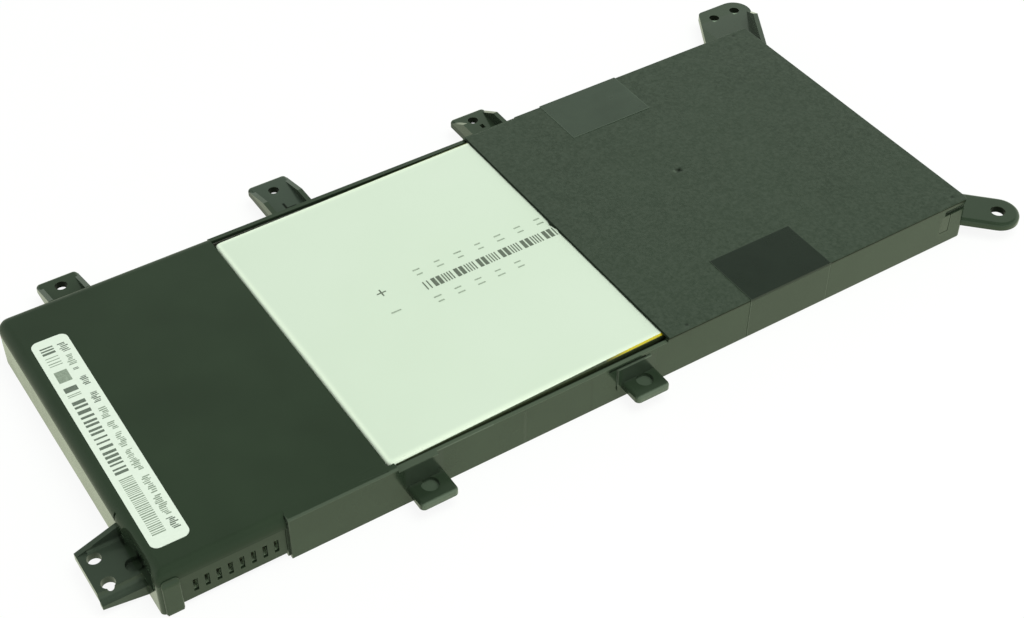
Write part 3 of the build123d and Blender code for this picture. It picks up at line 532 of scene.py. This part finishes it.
nodeMaterials = {
    "tray": plastics["trayPlastic"], "board_cover": plastics["coverPlastic"], "film": film,
    "cell_left": pouch, "cell_right": pouch, "edge_tape_front": amber, "edge_tape_back": amber,
    "front_tape": frontTape, "back_tape": backTape, "label": paper,
    "connector_housing": plastics["plugPlastic"], "circuit_board": plastics["boardGreen"],
    "insulating_sheet": plastics["sheetBlack"], "end_foam": plastics["foamBlack"],
    "cell_adhesive_left": plastics["adhesiveWhite"], "cell_adhesive_right": plastics["adhesiveWhite"],
    "fuse": plastics["fuseCeramic"],
}
for name in nodes:
    if name.startswith("contact"):
        nodeMaterials[name] = bladePlate
    elif name.startswith("capacitor"):
        nodeMaterials[name] = plastics["capacitorTan"]
    elif "strip" in name or "_tab_" in name or name == "sense_resistor":
        nodeMaterials[name] = nickel
    elif name not in nodeMaterials:
        nodeMaterials[name] = plastics["chipResin"]
for name, node in nodes.items():
    node.data.materials.clear()
    node.data.materials.append(nodeMaterials[name])
print("materials set")


# floor and light

def flatSquare(name, half, height):
    mesh = bpy.data.meshes.new(name)
    corners = [(-half, -half, height), (half, -half, height), (half, half, height), (-half, half, height)]
    mesh.from_pydata(corners, [], [(0, 1, 2, 3)])
    piece = bpy.data.objects.new(name, mesh)
    scene.collection.objects.link(piece)
    return piece


def paleFloorMaterial(settings):
    # plain floor for the light that falls on it, and nearly plain white to the eye and in reflections
    material, tree, shader = newMaterial("paleFloor")
    grain = objectNoise(tree, settings["grain"], 2.0)
    tree.links.new(mixColor(tree, grain, settings["dark"], settings["light"]), shader.inputs["Base Color"])
    shader.inputs["Roughness"].default_value = settings["roughness"]
    rays = tree.nodes.new("ShaderNodeLightPath")
    seen = maths(tree, "MAXIMUM", rays.outputs["Is Camera Ray"], rays.outputs["Is Glossy Ray"])
    seen = maths(tree, "MAXIMUM", seen, rays.outputs["Is Transmission Ray"])
    glow = tree.nodes.new("ShaderNodeEmission")
    tree.links.new(mixColor(tree, rays.outputs["Is Glossy Ray"], (1.0, 1.0, 1.0), settings["reflected"]),
                   glow.inputs["Color"])
    glow.inputs["Strength"].default_value = 1.0
    blend = tree.nodes.new("ShaderNodeMixShader")
    tree.links.new(maths(tree, "MULTIPLY", seen, settings["whiteness"]), blend.inputs["Fac"])
    tree.links.new(shader.outputs["BSDF"], blend.inputs[1])
    tree.links.new(glow.outputs["Emission"], blend.inputs[2])
    tree.links.new(blend.outputs["Shader"], tree.nodes["Material Output"].inputs["Surface"])
    return material


floorSettings = {"dark": (0.86, 0.87, 0.86), "light": (0.88, 0.89, 0.88), "grain": 60.0, "roughness": 0.8,
                 "whiteness": 0.9, "reflected": (0.93, 1.0, 0.76), "half": 4.0, "height": -0.00002}
floor = flatSquare("floor", floorSettings["half"], floorSettings["height"])
floor.data.materials.append(paleFloorMaterial(floorSettings))

lightSettings = {
    "keyBox": {"place": (0.20, -0.30, 1.15), "aim": (0, 0, 0), "size": 0.9, "power": 14,
               "color": (0.93, 1.0, 0.90)},
}
for name, settings in lightSettings.items():
    lamp = bpy.data.lights.new(name, "AREA")
    lamp.size = settings["size"]
    lamp.energy = settings["power"]
    lamp.color = settings["color"]
    lampObject = bpy.data.objects.new(name, lamp)
    scene.collection.objects.link(lampObject)
    lampObject.visible_glossy = False
    lampObject.location = settings["place"]
    aim = Vector(settings["aim"]) - Vector(settings["place"])
    lampObject.rotation_euler = aim.to_track_quat("-Z", "Y").to_euler()

# room: pale near the horizon, grey overhead, given as stops of height in the direction looked at
roomStops = [(0.0, (0.88, 0.95, 0.86)), (0.595, (0.86, 0.93, 0.84)), (0.665, (0.29, 0.32, 0.29)),
             (1.0, (0.24, 0.27, 0.24))]
world = bpy.data.worlds.new("studio")
scene.world = world
world.use_nodes = True
worldTree = world.node_tree
direction = worldTree.nodes.new("ShaderNodeTexCoord")
split = worldTree.nodes.new("ShaderNodeSeparateXYZ")
worldTree.links.new(direction.outputs["Generated"], split.inputs["Vector"])
ramp = worldTree.nodes.new("ShaderNodeValToRGB")
worldTree.links.new(split.outputs["Z"], ramp.inputs["Fac"])
for height, color in roomStops[1:-1]:
    ramp.color_ramp.elements.new(height).color = (*color, 1)
ramp.color_ramp.elements[0].color = (*roomStops[0][1], 1)
ramp.color_ramp.elements[-1].color = (*roomStops[-1][1], 1)
worldTree.links.new(ramp.outputs["Color"], worldTree.nodes["Background"].inputs["Color"])
print("floor and light set")


# shapes as surfaces of two parameters

def roundedLoop(corners, radii, spacing, arcSteps=9):
    # walks round a polygon at even steps; each corner is an arc about a centre on the corner's
    # middle line, at its radius over the sine of half the corner's angle
    corners = np.array(corners, float)
    radii = np.broadcast_to(radii, len(corners)).astype(float)
    back = np.roll(corners, 1, axis=0) - corners
    ahead = np.roll(corners, -1, axis=0) - corners
    back /= np.linalg.norm(back, axis=1, keepdims=True)
    ahead /= np.linalg.norm(ahead, axis=1, keepdims=True)
    angle = np.arccos(np.clip((back * ahead).sum(axis=1), -1, 1))
    reach = (radii / np.tan(angle / 2))[:, None]
    middle = back + ahead
    middle /= np.linalg.norm(middle, axis=1, keepdims=True)
    centre = corners + middle * (radii / np.sin(angle / 2))[:, None]
    sweep = (np.pi - angle)[:, None]
    steps = np.linspace(0, 1, arcSteps)[None, :]
    first = (np.sin((1 - steps) * sweep) / np.sin(sweep))[..., None]
    first = first * (corners + back * reach - centre)[:, None]
    last = (np.sin(steps * sweep) / np.sin(sweep))[..., None]
    last = last * (corners + ahead * reach - centre)[:, None]
    line = (centre[:, None] + first + last).reshape(-1, 2)
    line = np.vstack([line, line[:1]])
    length = np.concatenate([[0], np.cumsum(np.linalg.norm(np.diff(line, axis=0), axis=1))])
    at = np.linspace(0, length[-1], int(round(length[-1] / spacing)), endpoint=False)
    return np.column_stack([np.interp(at, length, line[:, 0]), np.interp(at, length, line[:, 1])])


def wrapFaces(rings, around):
    # quads between neighbouring rings, each ring closed on itself
    ring, step = np.meshgrid(np.arange(rings - 1), np.arange(around), indexing="ij")
    following = (step + 1) % around
    return np.stack([ring * around + step, ring * around + following,
                     (ring + 1) * around + following, (ring + 1) * around + step], axis=-1).reshape(-1, 4)


def addPiece(name, points, faces, material, smooth=True, fields=None):
    mesh = bpy.data.meshes.new(name)
    mesh.from_pydata(toFrame(points).tolist(), [], [list(face) for face in faces])
    mesh.polygons.foreach_set("use_smooth", np.full(len(mesh.polygons), smooth))
    for field, values in (fields or {}).items():
        mesh.attributes.new(field, "FLOAT", "POINT").data.foreach_set("value", values.astype(np.float32))
    mesh.update()
    mesh.materials.append(material)
    piece = bpy.data.objects.new(name, mesh)
    scene.collection.objects.link(piece)
    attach(piece, "root")
    return piece


def pillow(loop, profile, rings, lift=None, rimWidth=1.0, crowding=0.7, liftPower=4):
    # the point at (s, t) is the outline at t, moved in by the profile's inset at s and raised to the
    # profile's height; past the profile the rings shrink by a cosine's power towards the middle, where a
    # pole closes them. A lift counts by a power of the height reached, so it leaves the foot in place.
    # The rim highlight value, the weight of a painted highlight, is 1 on the profile and falls as a bell of
    # the way in from its last ring
    along = np.roll(loop, -1, axis=0) - np.roll(loop, 1, axis=0)
    outward = np.column_stack([along[:, 1], -along[:, 0]]) / np.linalg.norm(along, axis=1, keepdims=True)
    middle = (loop.max(axis=0) + loop.min(axis=0)) / 2
    insets, heights = np.array(profile, float).T
    sides = loop[None] - outward[None] * insets[:, None, None]
    shrink = np.cos(np.linspace(0, np.pi / 2, rings + 2)[1:-1]) ** crowding
    inner = middle + (sides[-1] - middle)[None] * shrink[:, None, None]
    flat = np.concatenate([sides, inner])
    level = np.concatenate([heights, np.full(rings, heights[-1])])
    points = np.dstack([flat, np.broadcast_to(level[:, None], flat.shape[:2])]).reshape(-1, 3)
    poles = np.array([[*middle, heights[0]], [*middle, heights[-1]]])
    points = np.vstack([points, poles])
    if lift:
        share = (points[:, 2] - heights[0]) / (heights[-1] - heights[0])
        points[:, 2] += lift(points[:, 0], points[:, 1]) * share ** liftPower
    poleDepths = [0, 99]  # the under pole counts as rim, the upper one as far from it
    depth = np.concatenate([np.zeros(len(sides) * len(loop)),
                            np.linalg.norm(inner - sides[-1][None], axis=2).ravel(), poleDepths])
    rim = np.exp(-(depth / rimWidth) ** 2)
    around = len(loop)
    total = len(flat) * around
    step = np.arange(around)
    following = (step + 1) % around
    top = (len(flat) - 1) * around
    under = np.column_stack([np.full(around, total), following, step])
    over = np.column_stack([np.full(around, total + 1), top + step, top + following])
    faces = wrapFaces(len(flat), around).tolist() + under.tolist() + over.tolist()
    return points, faces, rim


def roundEdge(inset, height, radius, steps):
    # the quarter circle that turns a side into a top: from (inset, height - radius) inwards and up
    turn = np.linspace(0, np.pi / 2, steps)
    inward = inset + radius * (1 - np.cos(turn))
    upward = height - radius * (1 - np.sin(turn))
    return np.column_stack([inward, upward]).tolist()


def tube(sections):
    # closed sections set one after another along a path, with a flat cap at each end
    count, around = sections.shape[:2]
    faces = wrapFaces(count, around)[:, ::-1].tolist()
    last = (count - 1) * around
    faces.append(list(range(around)))
    faces.append(list(range(last + around - 1, last - 1, -1)))
    return sections.reshape(-1, 3), faces


def bell(x, y, spot, width):
    # a round bell of height 1 about a spot
    return np.exp(-((x - spot[0]) ** 2 + (y - spot[1]) ** 2) / width ** 2)


# left cell: a foil pouch that lies slightly turned in the tray, over the flat terrace at its tab end

cellSettings = {"corners": [(51.65, 1.20), (127.1, 2.30), (126.6, 83.60), (51.65, 82.35)],
                "cornerRadius": 1.5, "foot": [(0.85, 1.2), (0.45, 1.35), (0.25, 1.9)],
                "side": [(0.08, 3.6), (0.0, 6.0), (0.04, 8.6)], "top": cellTop, "edgeRadius": 0.75,
                "edgeInset": 0.10, "edgeSteps": 7, "spacing": 0.7, "rings": 56, "rimWidth": 0.7,
                "dents": [((66, 25), 6, -0.035), ((104, 60), 8, -0.03), ((93, 14), 5, -0.03)]}
terraceSettings = {"corners": [(47.2, 3.3), (52.6, 3.3), (52.6, 81.0), (47.2, 81.0)], "cornerRadius": 0.4,
                   "profile": [(0.03, 5.95), (0.0, 6.0), (0.0, 6.2), (0.05, 6.25)], "spacing": 0.8,
                   "rings": 4}


def cellLift(x, y):
    # slow waves of the foil and a few round dents, the whole face a little lower than its nominal top
    waves = 0.030 * np.sin(x / 11.0 + 0.6) * np.sin(y / 9.0 + 1.1) + 0.018 * np.sin(x / 5.1 - y / 7.3)
    dents = sum(depth * bell(x, y, spot, width) for spot, width, depth in cellSettings["dents"])
    return waves * 0.6 + dents - 0.02


cellLoop = roundedLoop(cellSettings["corners"], cellSettings["cornerRadius"], cellSettings["spacing"])
cellEdge = roundEdge(cellSettings["edgeInset"], cellSettings["top"], cellSettings["edgeRadius"],
                     cellSettings["edgeSteps"])
cellProfile = cellSettings["foot"] + cellSettings["side"] + cellEdge
cellPoints, cellFaces, cellRimHighlight = pillow(cellLoop, cellProfile, cellSettings["rings"], cellLift,
                                        cellSettings["rimWidth"])
pouchSkin = addPiece("pouchSkin", cellPoints, cellFaces, pouch, fields={"rim": cellRimHighlight})
terraceLoop = roundedLoop(terraceSettings["corners"], terraceSettings["cornerRadius"],
                          terraceSettings["spacing"])
terracePoints, terraceFaces, terraceRimHighlight = pillow(terraceLoop, terraceSettings["profile"],
                                                 terraceSettings["rings"])
addPiece("pouchTerrace", terracePoints, terraceFaces, pouch, fields={"rim": terraceRimHighlight * 0})
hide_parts("cell_left")


# amber tape on the cell's long sides: it wraps further over the edge towards the right

edgeTapeSettings = {
    "edge_tape_front": {"start": (53.4, 1.22), "end": (125.3, 2.27), "side": -1, "wrapLeft": 0.25,
                        "wrapRight": 0.80},
    "edge_tape_back": {"start": (53.4, 82.38), "end": (125.3, 83.58), "side": 1, "wrapLeft": 0.35,
                       "wrapRight": 0.9},
}


def edgeTape(settings, thickness=0.05, skinGap=0.005, low=5.8, lengthSteps=90, wrapSteps=12):
    # a section goes up the cell's side and round its edge by the wrap's share of a quarter turn, then
    # back the same way a tape's thickness inside
    radius = cellSettings["edgeRadius"]
    inset = cellSettings["edgeInset"]
    share = np.linspace(0, 1, lengthSteps)
    base = np.outer(1 - share, settings["start"]) + np.outer(share, settings["end"])
    wrap = settings["wrapLeft"] + (settings["wrapRight"] - settings["wrapLeft"]) * share
    turn = np.linspace(0, 1, wrapSteps)[None, :] * wrap[:, None] * np.pi / 2
    sections = []
    for reach in (radius + thickness, radius + skinGap):
        across = inset + radius - reach * np.cos(turn)
        height = cellTop - radius + reach * np.sin(turn)
        across = np.hstack([np.full((len(share), 1), inset + radius - reach), across])
        height = np.hstack([np.full((len(share), 1), low), height])
        sections.append(np.dstack([across, height]))
    loop = np.concatenate([sections[0], sections[1][:, ::-1]], axis=1)
    x = np.broadcast_to(base[:, :1], loop.shape[:2])
    y = base[:, 1:] - settings["side"] * loop[..., 0]
    loop = np.dstack([x, y, loop[..., 1]])
    return loop if settings["side"] < 0 else loop[:, ::-1]


for name, settings in edgeTapeSettings.items():
    tapePoints, tapeFaces = tube(edgeTape(settings))
    tape = addPiece(name + "_skin", tapePoints, tapeFaces, amber)
    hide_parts(name)
print("cell and edge tapes made")


# softened blocks: the rounded post beside the plug, the fill of the latch's recess, of which only a faint
# line stays, and the cover's flat lip over the step block

postSettings = {"corners": [(0.75, 0.02), (4.62, 0.02), (4.62, 9.9), (0.75, 9.9)],
                "radii": [0.5, 0.5, 1.2, 0.9], "low": -0.1, "top": 0.62, "edgeRadius": 0.4, "edgeSteps": 6,
                "border": 0, "spacing": 0.25, "rings": 14, "fadeFrom": 8.2, "fadeTo": 9.7, "fade": 0.62}
latchSettings = {"corners": [(202.33, 3.83), (204.97, 3.83), (204.97, 8.77), (202.33, 8.77)], "radii": 0.1,
                 "low": -0.45, "top": -0.07, "edgeRadius": 0.05, "edgeSteps": 3, "border": 0, "spacing": 0.4,
                 "rings": 3}
lipSettings = {"corners": [(27.9, -0.62), (51.2, -0.62), (51.2, 2.7), (27.9, 2.7)],
               "radii": [0.5, 0.1, 0.1, 0.5], "low": 11.1, "top": 11.656, "edgeRadius": 0.25, "edgeSteps": 5,
               "border": 0.04, "spacing": 0.3, "rings": 6}


def postFade(x, z):
    # the face sinks back to the wall between two heights, as a smooth step
    low = postSettings["fadeFrom"]
    high = postSettings["fadeTo"]
    share = np.clip((z - low) / (high - low), 0, 1)
    return -postSettings["fade"] * share ** 2 * (3 - 2 * share)


def softBlock(settings, lift=None):
    # an outline raised straight from low, rounded over into its top, and flat across a border if it has one
    loop = roundedLoop(settings["corners"], settings["radii"], settings["spacing"])
    profile = [(0.0, settings["low"])]
    profile += roundEdge(0.0, settings["top"], settings["edgeRadius"], settings["edgeSteps"])
    if settings["border"]:
        profile.append((settings["edgeRadius"] + settings["border"], settings["top"]))
    return pillow(loop, profile, settings["rings"], lift)[:2]


def standUp(points):
    # a form drawn flat is set upright, with its top to the front
    return np.column_stack([points[:, 0], -points[:, 2], points[:, 1]])


postPoints, postFaces = softBlock(postSettings, postFade)
addPiece("postSkin", standUp(postPoints), postFaces, plastics["trayPlastic"])
latchPoints, latchFaces = softBlock(latchSettings)
addPiece("latchInfill", standUp(latchPoints), latchFaces, plastics["trayPlastic"])
lipPoints, lipFaces = softBlock(lipSettings)
addPiece("coverLip", lipPoints, lipFaces, plastics["coverPlastic"])
print("post, latch and lip made")


# film: a sheet over the right part, a little wavy, with an uneven cut at its left end and a narrow notch
# at its back left corner

filmLeft = 121.1
filmSettings = {"corners": [(filmLeft, 0.0), (caseLength, 0.0), (caseLength, caseWidth), (135.9, caseWidth),
                            (135.9, 84.5), (filmLeft, 84.5)],
                "radii": [0.4, 1.2, 1.2, 0.25, 0.2, 0.4], "foot": [(0.06, 11.25), (0.0, 11.3)],
                "edgeRadius": 0.3, "edgeSteps": 6, "spacing": 0.55, "rings": 70, "dimple": (158.3, 45.7),
                "dimpleDepth": 0.16, "dimpleWidth": 0.8, "ringHeight": 0.035, "ringWidth": 2.2,
                "marks": [(127.1, 1.4), (206.8, 2.4), (174.7, 78.2), (204.8, 83.6)], "markDepth": 0.08,
                "markWidth": 0.7,
                "nicks": [(46.0, 0.7, -0.40), (43.6, 0.5, 0.25)]}


def filmLift(x, y):
    # shallow waves, one pressed dimple with a raised ring, and small dents near the corners
    waves = 0.016 * np.sin(x / 8.3 + 0.5) * np.sin(y / 7.1) + 0.012 * np.sin(x / 3.9 + y / 5.2)
    spot = filmSettings["dimple"]
    pit = -filmSettings["dimpleDepth"] * bell(x, y, spot, filmSettings["dimpleWidth"])
    ring = filmSettings["ringHeight"] * bell(x, y, spot, filmSettings["ringWidth"])
    width = filmSettings["markWidth"]
    dents = sum(-filmSettings["markDepth"] * bell(x, y, mark, width) for mark in filmSettings["marks"])
    return waves + (pit + ring) + dents


def filmCut(loop):
    # the left end's line wanders by a few hundredths and is nicked at a few places
    x, y = loop.T
    end = np.exp(-((x - filmLeft) / 0.6) ** 2)
    wander = 0.02 * np.sin(y * 0.37) + 0.012 * np.sin(y * 1.9 + 1)
    for place, width, depth in filmSettings["nicks"]:
        wander += depth * np.exp(-((y - place) / width) ** 2)
    return np.column_stack([x + end * wander, y])


filmLoop = filmCut(roundedLoop(filmSettings["corners"], filmSettings["radii"], filmSettings["spacing"]))
filmProfile = filmSettings["foot"] + roundEdge(0.0, topHeight, filmSettings["edgeRadius"],
                                               filmSettings["edgeSteps"])
filmPoints, filmFaces = pillow(filmLoop, filmProfile, filmSettings["rings"], filmLift)[:2]
filmSkin = addPiece("filmSkin", filmPoints, filmFaces, film)
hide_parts("film")
print("film made")


# print: each mark is a thin flat plate of ink

def printPlates(name, centres, halves, angle, height, material, thickness=0.003):
    # a plate's corners are its centre plus its half sizes, turned by the angle, at two heights
    centres = np.array(centres, float)
    halves = np.array(halves, float)
    signs = np.array([(-1, -1), (1, -1), (1, 1), (-1, 1)])
    flat = signs[None] * halves[:, None]
    spin = np.array([[math.cos(angle), math.sin(angle)], [-math.sin(angle), math.cos(angle)]])
    flat = flat @ spin + centres[:, None]
    low = np.dstack([flat, np.full(flat.shape[:2], height)])
    high = np.dstack([flat, np.full(flat.shape[:2], height + thickness)])
    points = np.concatenate([low, high], axis=1).reshape(-1, 3)
    plate = np.array([(3, 2, 1, 0), (4, 5, 6, 7), (0, 1, 5, 4), (1, 2, 6, 5), (2, 3, 7, 6), (3, 0, 4, 7)])
    faces = (np.arange(len(centres))[:, None, None] * 8 + plate[None]).reshape(-1, 4)
    return addPiece(name, points, faces.tolist(), material, smooth=False)


def barRow(random, start, end, widths, gaps):
    # starts and widths of bars set one after another, each width and gap drawn from a short list
    count = int((end - start) / (min(widths) + min(gaps))) + 1
    wide = random.choice(widths, count)
    step = wide + random.choice(gaps, count)
    begin = start + np.concatenate([[0], np.cumsum(step)[:-1]])
    keep = begin + wide < end
    return begin[keep], wide[keep]


# on the cell: an even strip of bars between two rows of short lines in pairs, and the two pole signs

random = np.random.default_rng(11)
cellPrint = {"height": cellTop - 0.004, "thickness": 0.05, "barsFrom": 87.6, "barPitch": 6.0, "barGroups": 7,
             "barGroup": [(0.0, 0.95), (1.35, 0.95), (2.8, 0.26), (3.5, 0.26), (4.2, 0.26), (4.9, 0.26)],
             "firstBars": (85.5, 86.5), "thinBar": 0.26, "barsTo": 120.9, "barRow": 43.6, "barHalf": 1.4,
             "lineRows": [(86.6, 5.45, 48.6, 7), (86.2, 5.3, 38.4, 5)], "lineApart": 0.85, "lineHalf": 0.17,
             "plus": [(76.1, 46.9), (76.1, 46.25), (76.1, 47.55)], "minus": [(75.9, 39.9)],
             "plusHalves": [(1.15, 0.15), (0.15, 0.5), (0.15, 0.5)], "minusHalves": [(1.2, 0.16)]}


def cellPlates(name, centres, halves, material):
    printPlates(name, centres, halves, 0.0, cellPrint["height"], material, cellPrint["thickness"])


barGroup = np.array(cellPrint["barGroup"])
groupStarts = cellPrint["barsFrom"] + cellPrint["barPitch"] * np.arange(cellPrint["barGroups"])
barBegin = np.append((groupStarts[:, None] + barGroup[None, :, 0]).ravel(), cellPrint["firstBars"])
barWide = np.append(np.tile(barGroup[:, 1], cellPrint["barGroups"]),
                    np.full(len(cellPrint["firstBars"]), cellPrint["thinBar"]))
keepBars = barBegin + barWide < cellPrint["barsTo"]
barBegin = barBegin[keepBars]
barWide = barWide[keepBars]
barCentres = np.column_stack([barBegin + barWide / 2, np.full(len(barBegin), cellPrint["barRow"])])
barHalves = np.column_stack([barWide / 2, np.full(len(barBegin), cellPrint["barHalf"])])
cellPlates("cellBars", barCentres, barHalves, cellInk)
apart = cellPrint["lineApart"]
lineCentres = np.concatenate([
    np.column_stack([start + pitch * np.repeat(np.arange(count), 2), row + np.tile((-apart, apart), count)])
    for start, pitch, row, count in cellPrint["lineRows"]])
lineHalves = np.column_stack([random.uniform(0.7, 1.0, len(lineCentres)),
                               np.full(len(lineCentres), cellPrint["lineHalf"])])
cellPlates("cellBlocks", lineCentres, lineHalves, cellInkPale)
cellPlates("plusSign", cellPrint["plus"], cellPrint["plusHalves"], cellInk)
cellPlates("minusSign", cellPrint["minus"], cellPrint["minusHalves"], cellInkPale)


# on the label: one column of bars in uneven groups, and one column of short strokes

labelSettings = {"centre": (7.1, 39.6), "turn": math.radians(-0.75), "height": topHeight + 0.1,
                 "bars": -1.3, "barHalf": 1.45, "strokes": 2.15, "strokeShifts": (-0.22, 0.0, 0.22),
                 "strokeHalf": (0.5, 0.9), "strokeWidths": (0.24, 0.34), "strokeGaps": (0.16, 0.26),
                 "dark": [(-11.6, 0.4, (0.5, 0.8), (0.5, 0.9)), (1.0, 13.0, (0.7, 1.1), (0.5, 0.8)),
                          (15.2, 16.9, (1.6,), (0.5,)), (28.2, 30.8, (0.45, 0.7), (0.4,))],
                 "soft": [(-29.8, -12.4, (0.22, 0.22, 0.34), (0.26, 0.34)), (13.6, 14.9, (0.25,), (0.3,)),
                          (18.6, 22.4, (3.7,), (0.3,)), (24.2, 27.6, (0.25, 0.3), (0.5, 0.7))],
                 "pale": [(-11.2, -8.0, (3.0,), (0.3,)), (-6.2, -2.4, (3.6,), (0.3,)),
                          (2.2, 5.2, (2.8,), (0.3,)), (7.4, 10.8, (3.2,), (0.3,))],
                 "darkWords": [(27.4, 30.4), (21.0, 22.0), (15.6, 18.8), (9.6, 13.2), (-30.2, -27.0)],
                 "softWords": [(-26.2, -20.4), (-19.6, -14.2), (-12.6, -6.0), (-5.0, -0.6), (0.6, 3.4),
                               (4.4, 8.2), (22.8, 26.2)]}


def onLabel(across, along):
    # a place on the label, given from its centre across and along, turned with it
    cosine = math.cos(labelSettings["turn"])
    sine = math.sin(labelSettings["turn"])
    x, y = labelSettings["centre"]
    return np.column_stack([x + across * cosine - along * sine, y + across * sine + along * cosine])


def labelPlates(name, across, begin, wide, halfAcross, sink, material):
    halves = np.column_stack([halfAcross, wide / 2])
    printPlates(name, onLabel(across, begin + wide / 2), halves, labelSettings["turn"],
                labelSettings["height"] - sink, material)


labelMarks = 0
barShades = {"pale": (labelInkPale, 0.004), "soft": (labelInkSoft, 0.002), "dark": (labelInk, 0.0)}
for shade, (ink, sink) in barShades.items():
    rows = [barRow(random, *group) for group in labelSettings[shade]]
    begin = np.concatenate([row[0] for row in rows])
    wide = np.concatenate([row[1] for row in rows])
    across = np.full(len(begin), labelSettings["bars"])
    halfAcross = np.full(len(begin), labelSettings["barHalf"])
    labelPlates(shade + "LabelBars", across, begin, wide, halfAcross, sink, ink)
    labelMarks += len(begin)
for shade, ink in (("darkWords", labelInk), ("softWords", labelInkSoft)):
    # a word is a row of short strokes, shifted and of uneven length
    rows = [barRow(random, *word, labelSettings["strokeWidths"], labelSettings["strokeGaps"])
            for word in labelSettings[shade]]
    begin = np.concatenate([row[0] for row in rows])
    wide = np.concatenate([row[1] for row in rows])
    across = labelSettings["strokes"] + random.choice(labelSettings["strokeShifts"], len(begin))
    halfAcross = random.uniform(*labelSettings["strokeHalf"], len(begin))
    labelPlates(shade, across, begin, wide, halfAcross, 0.0, ink)
    labelMarks += len(begin)
print("print set:", len(barCentres) + len(lineCentres), "marks on the cell,", labelMarks, "on the label")
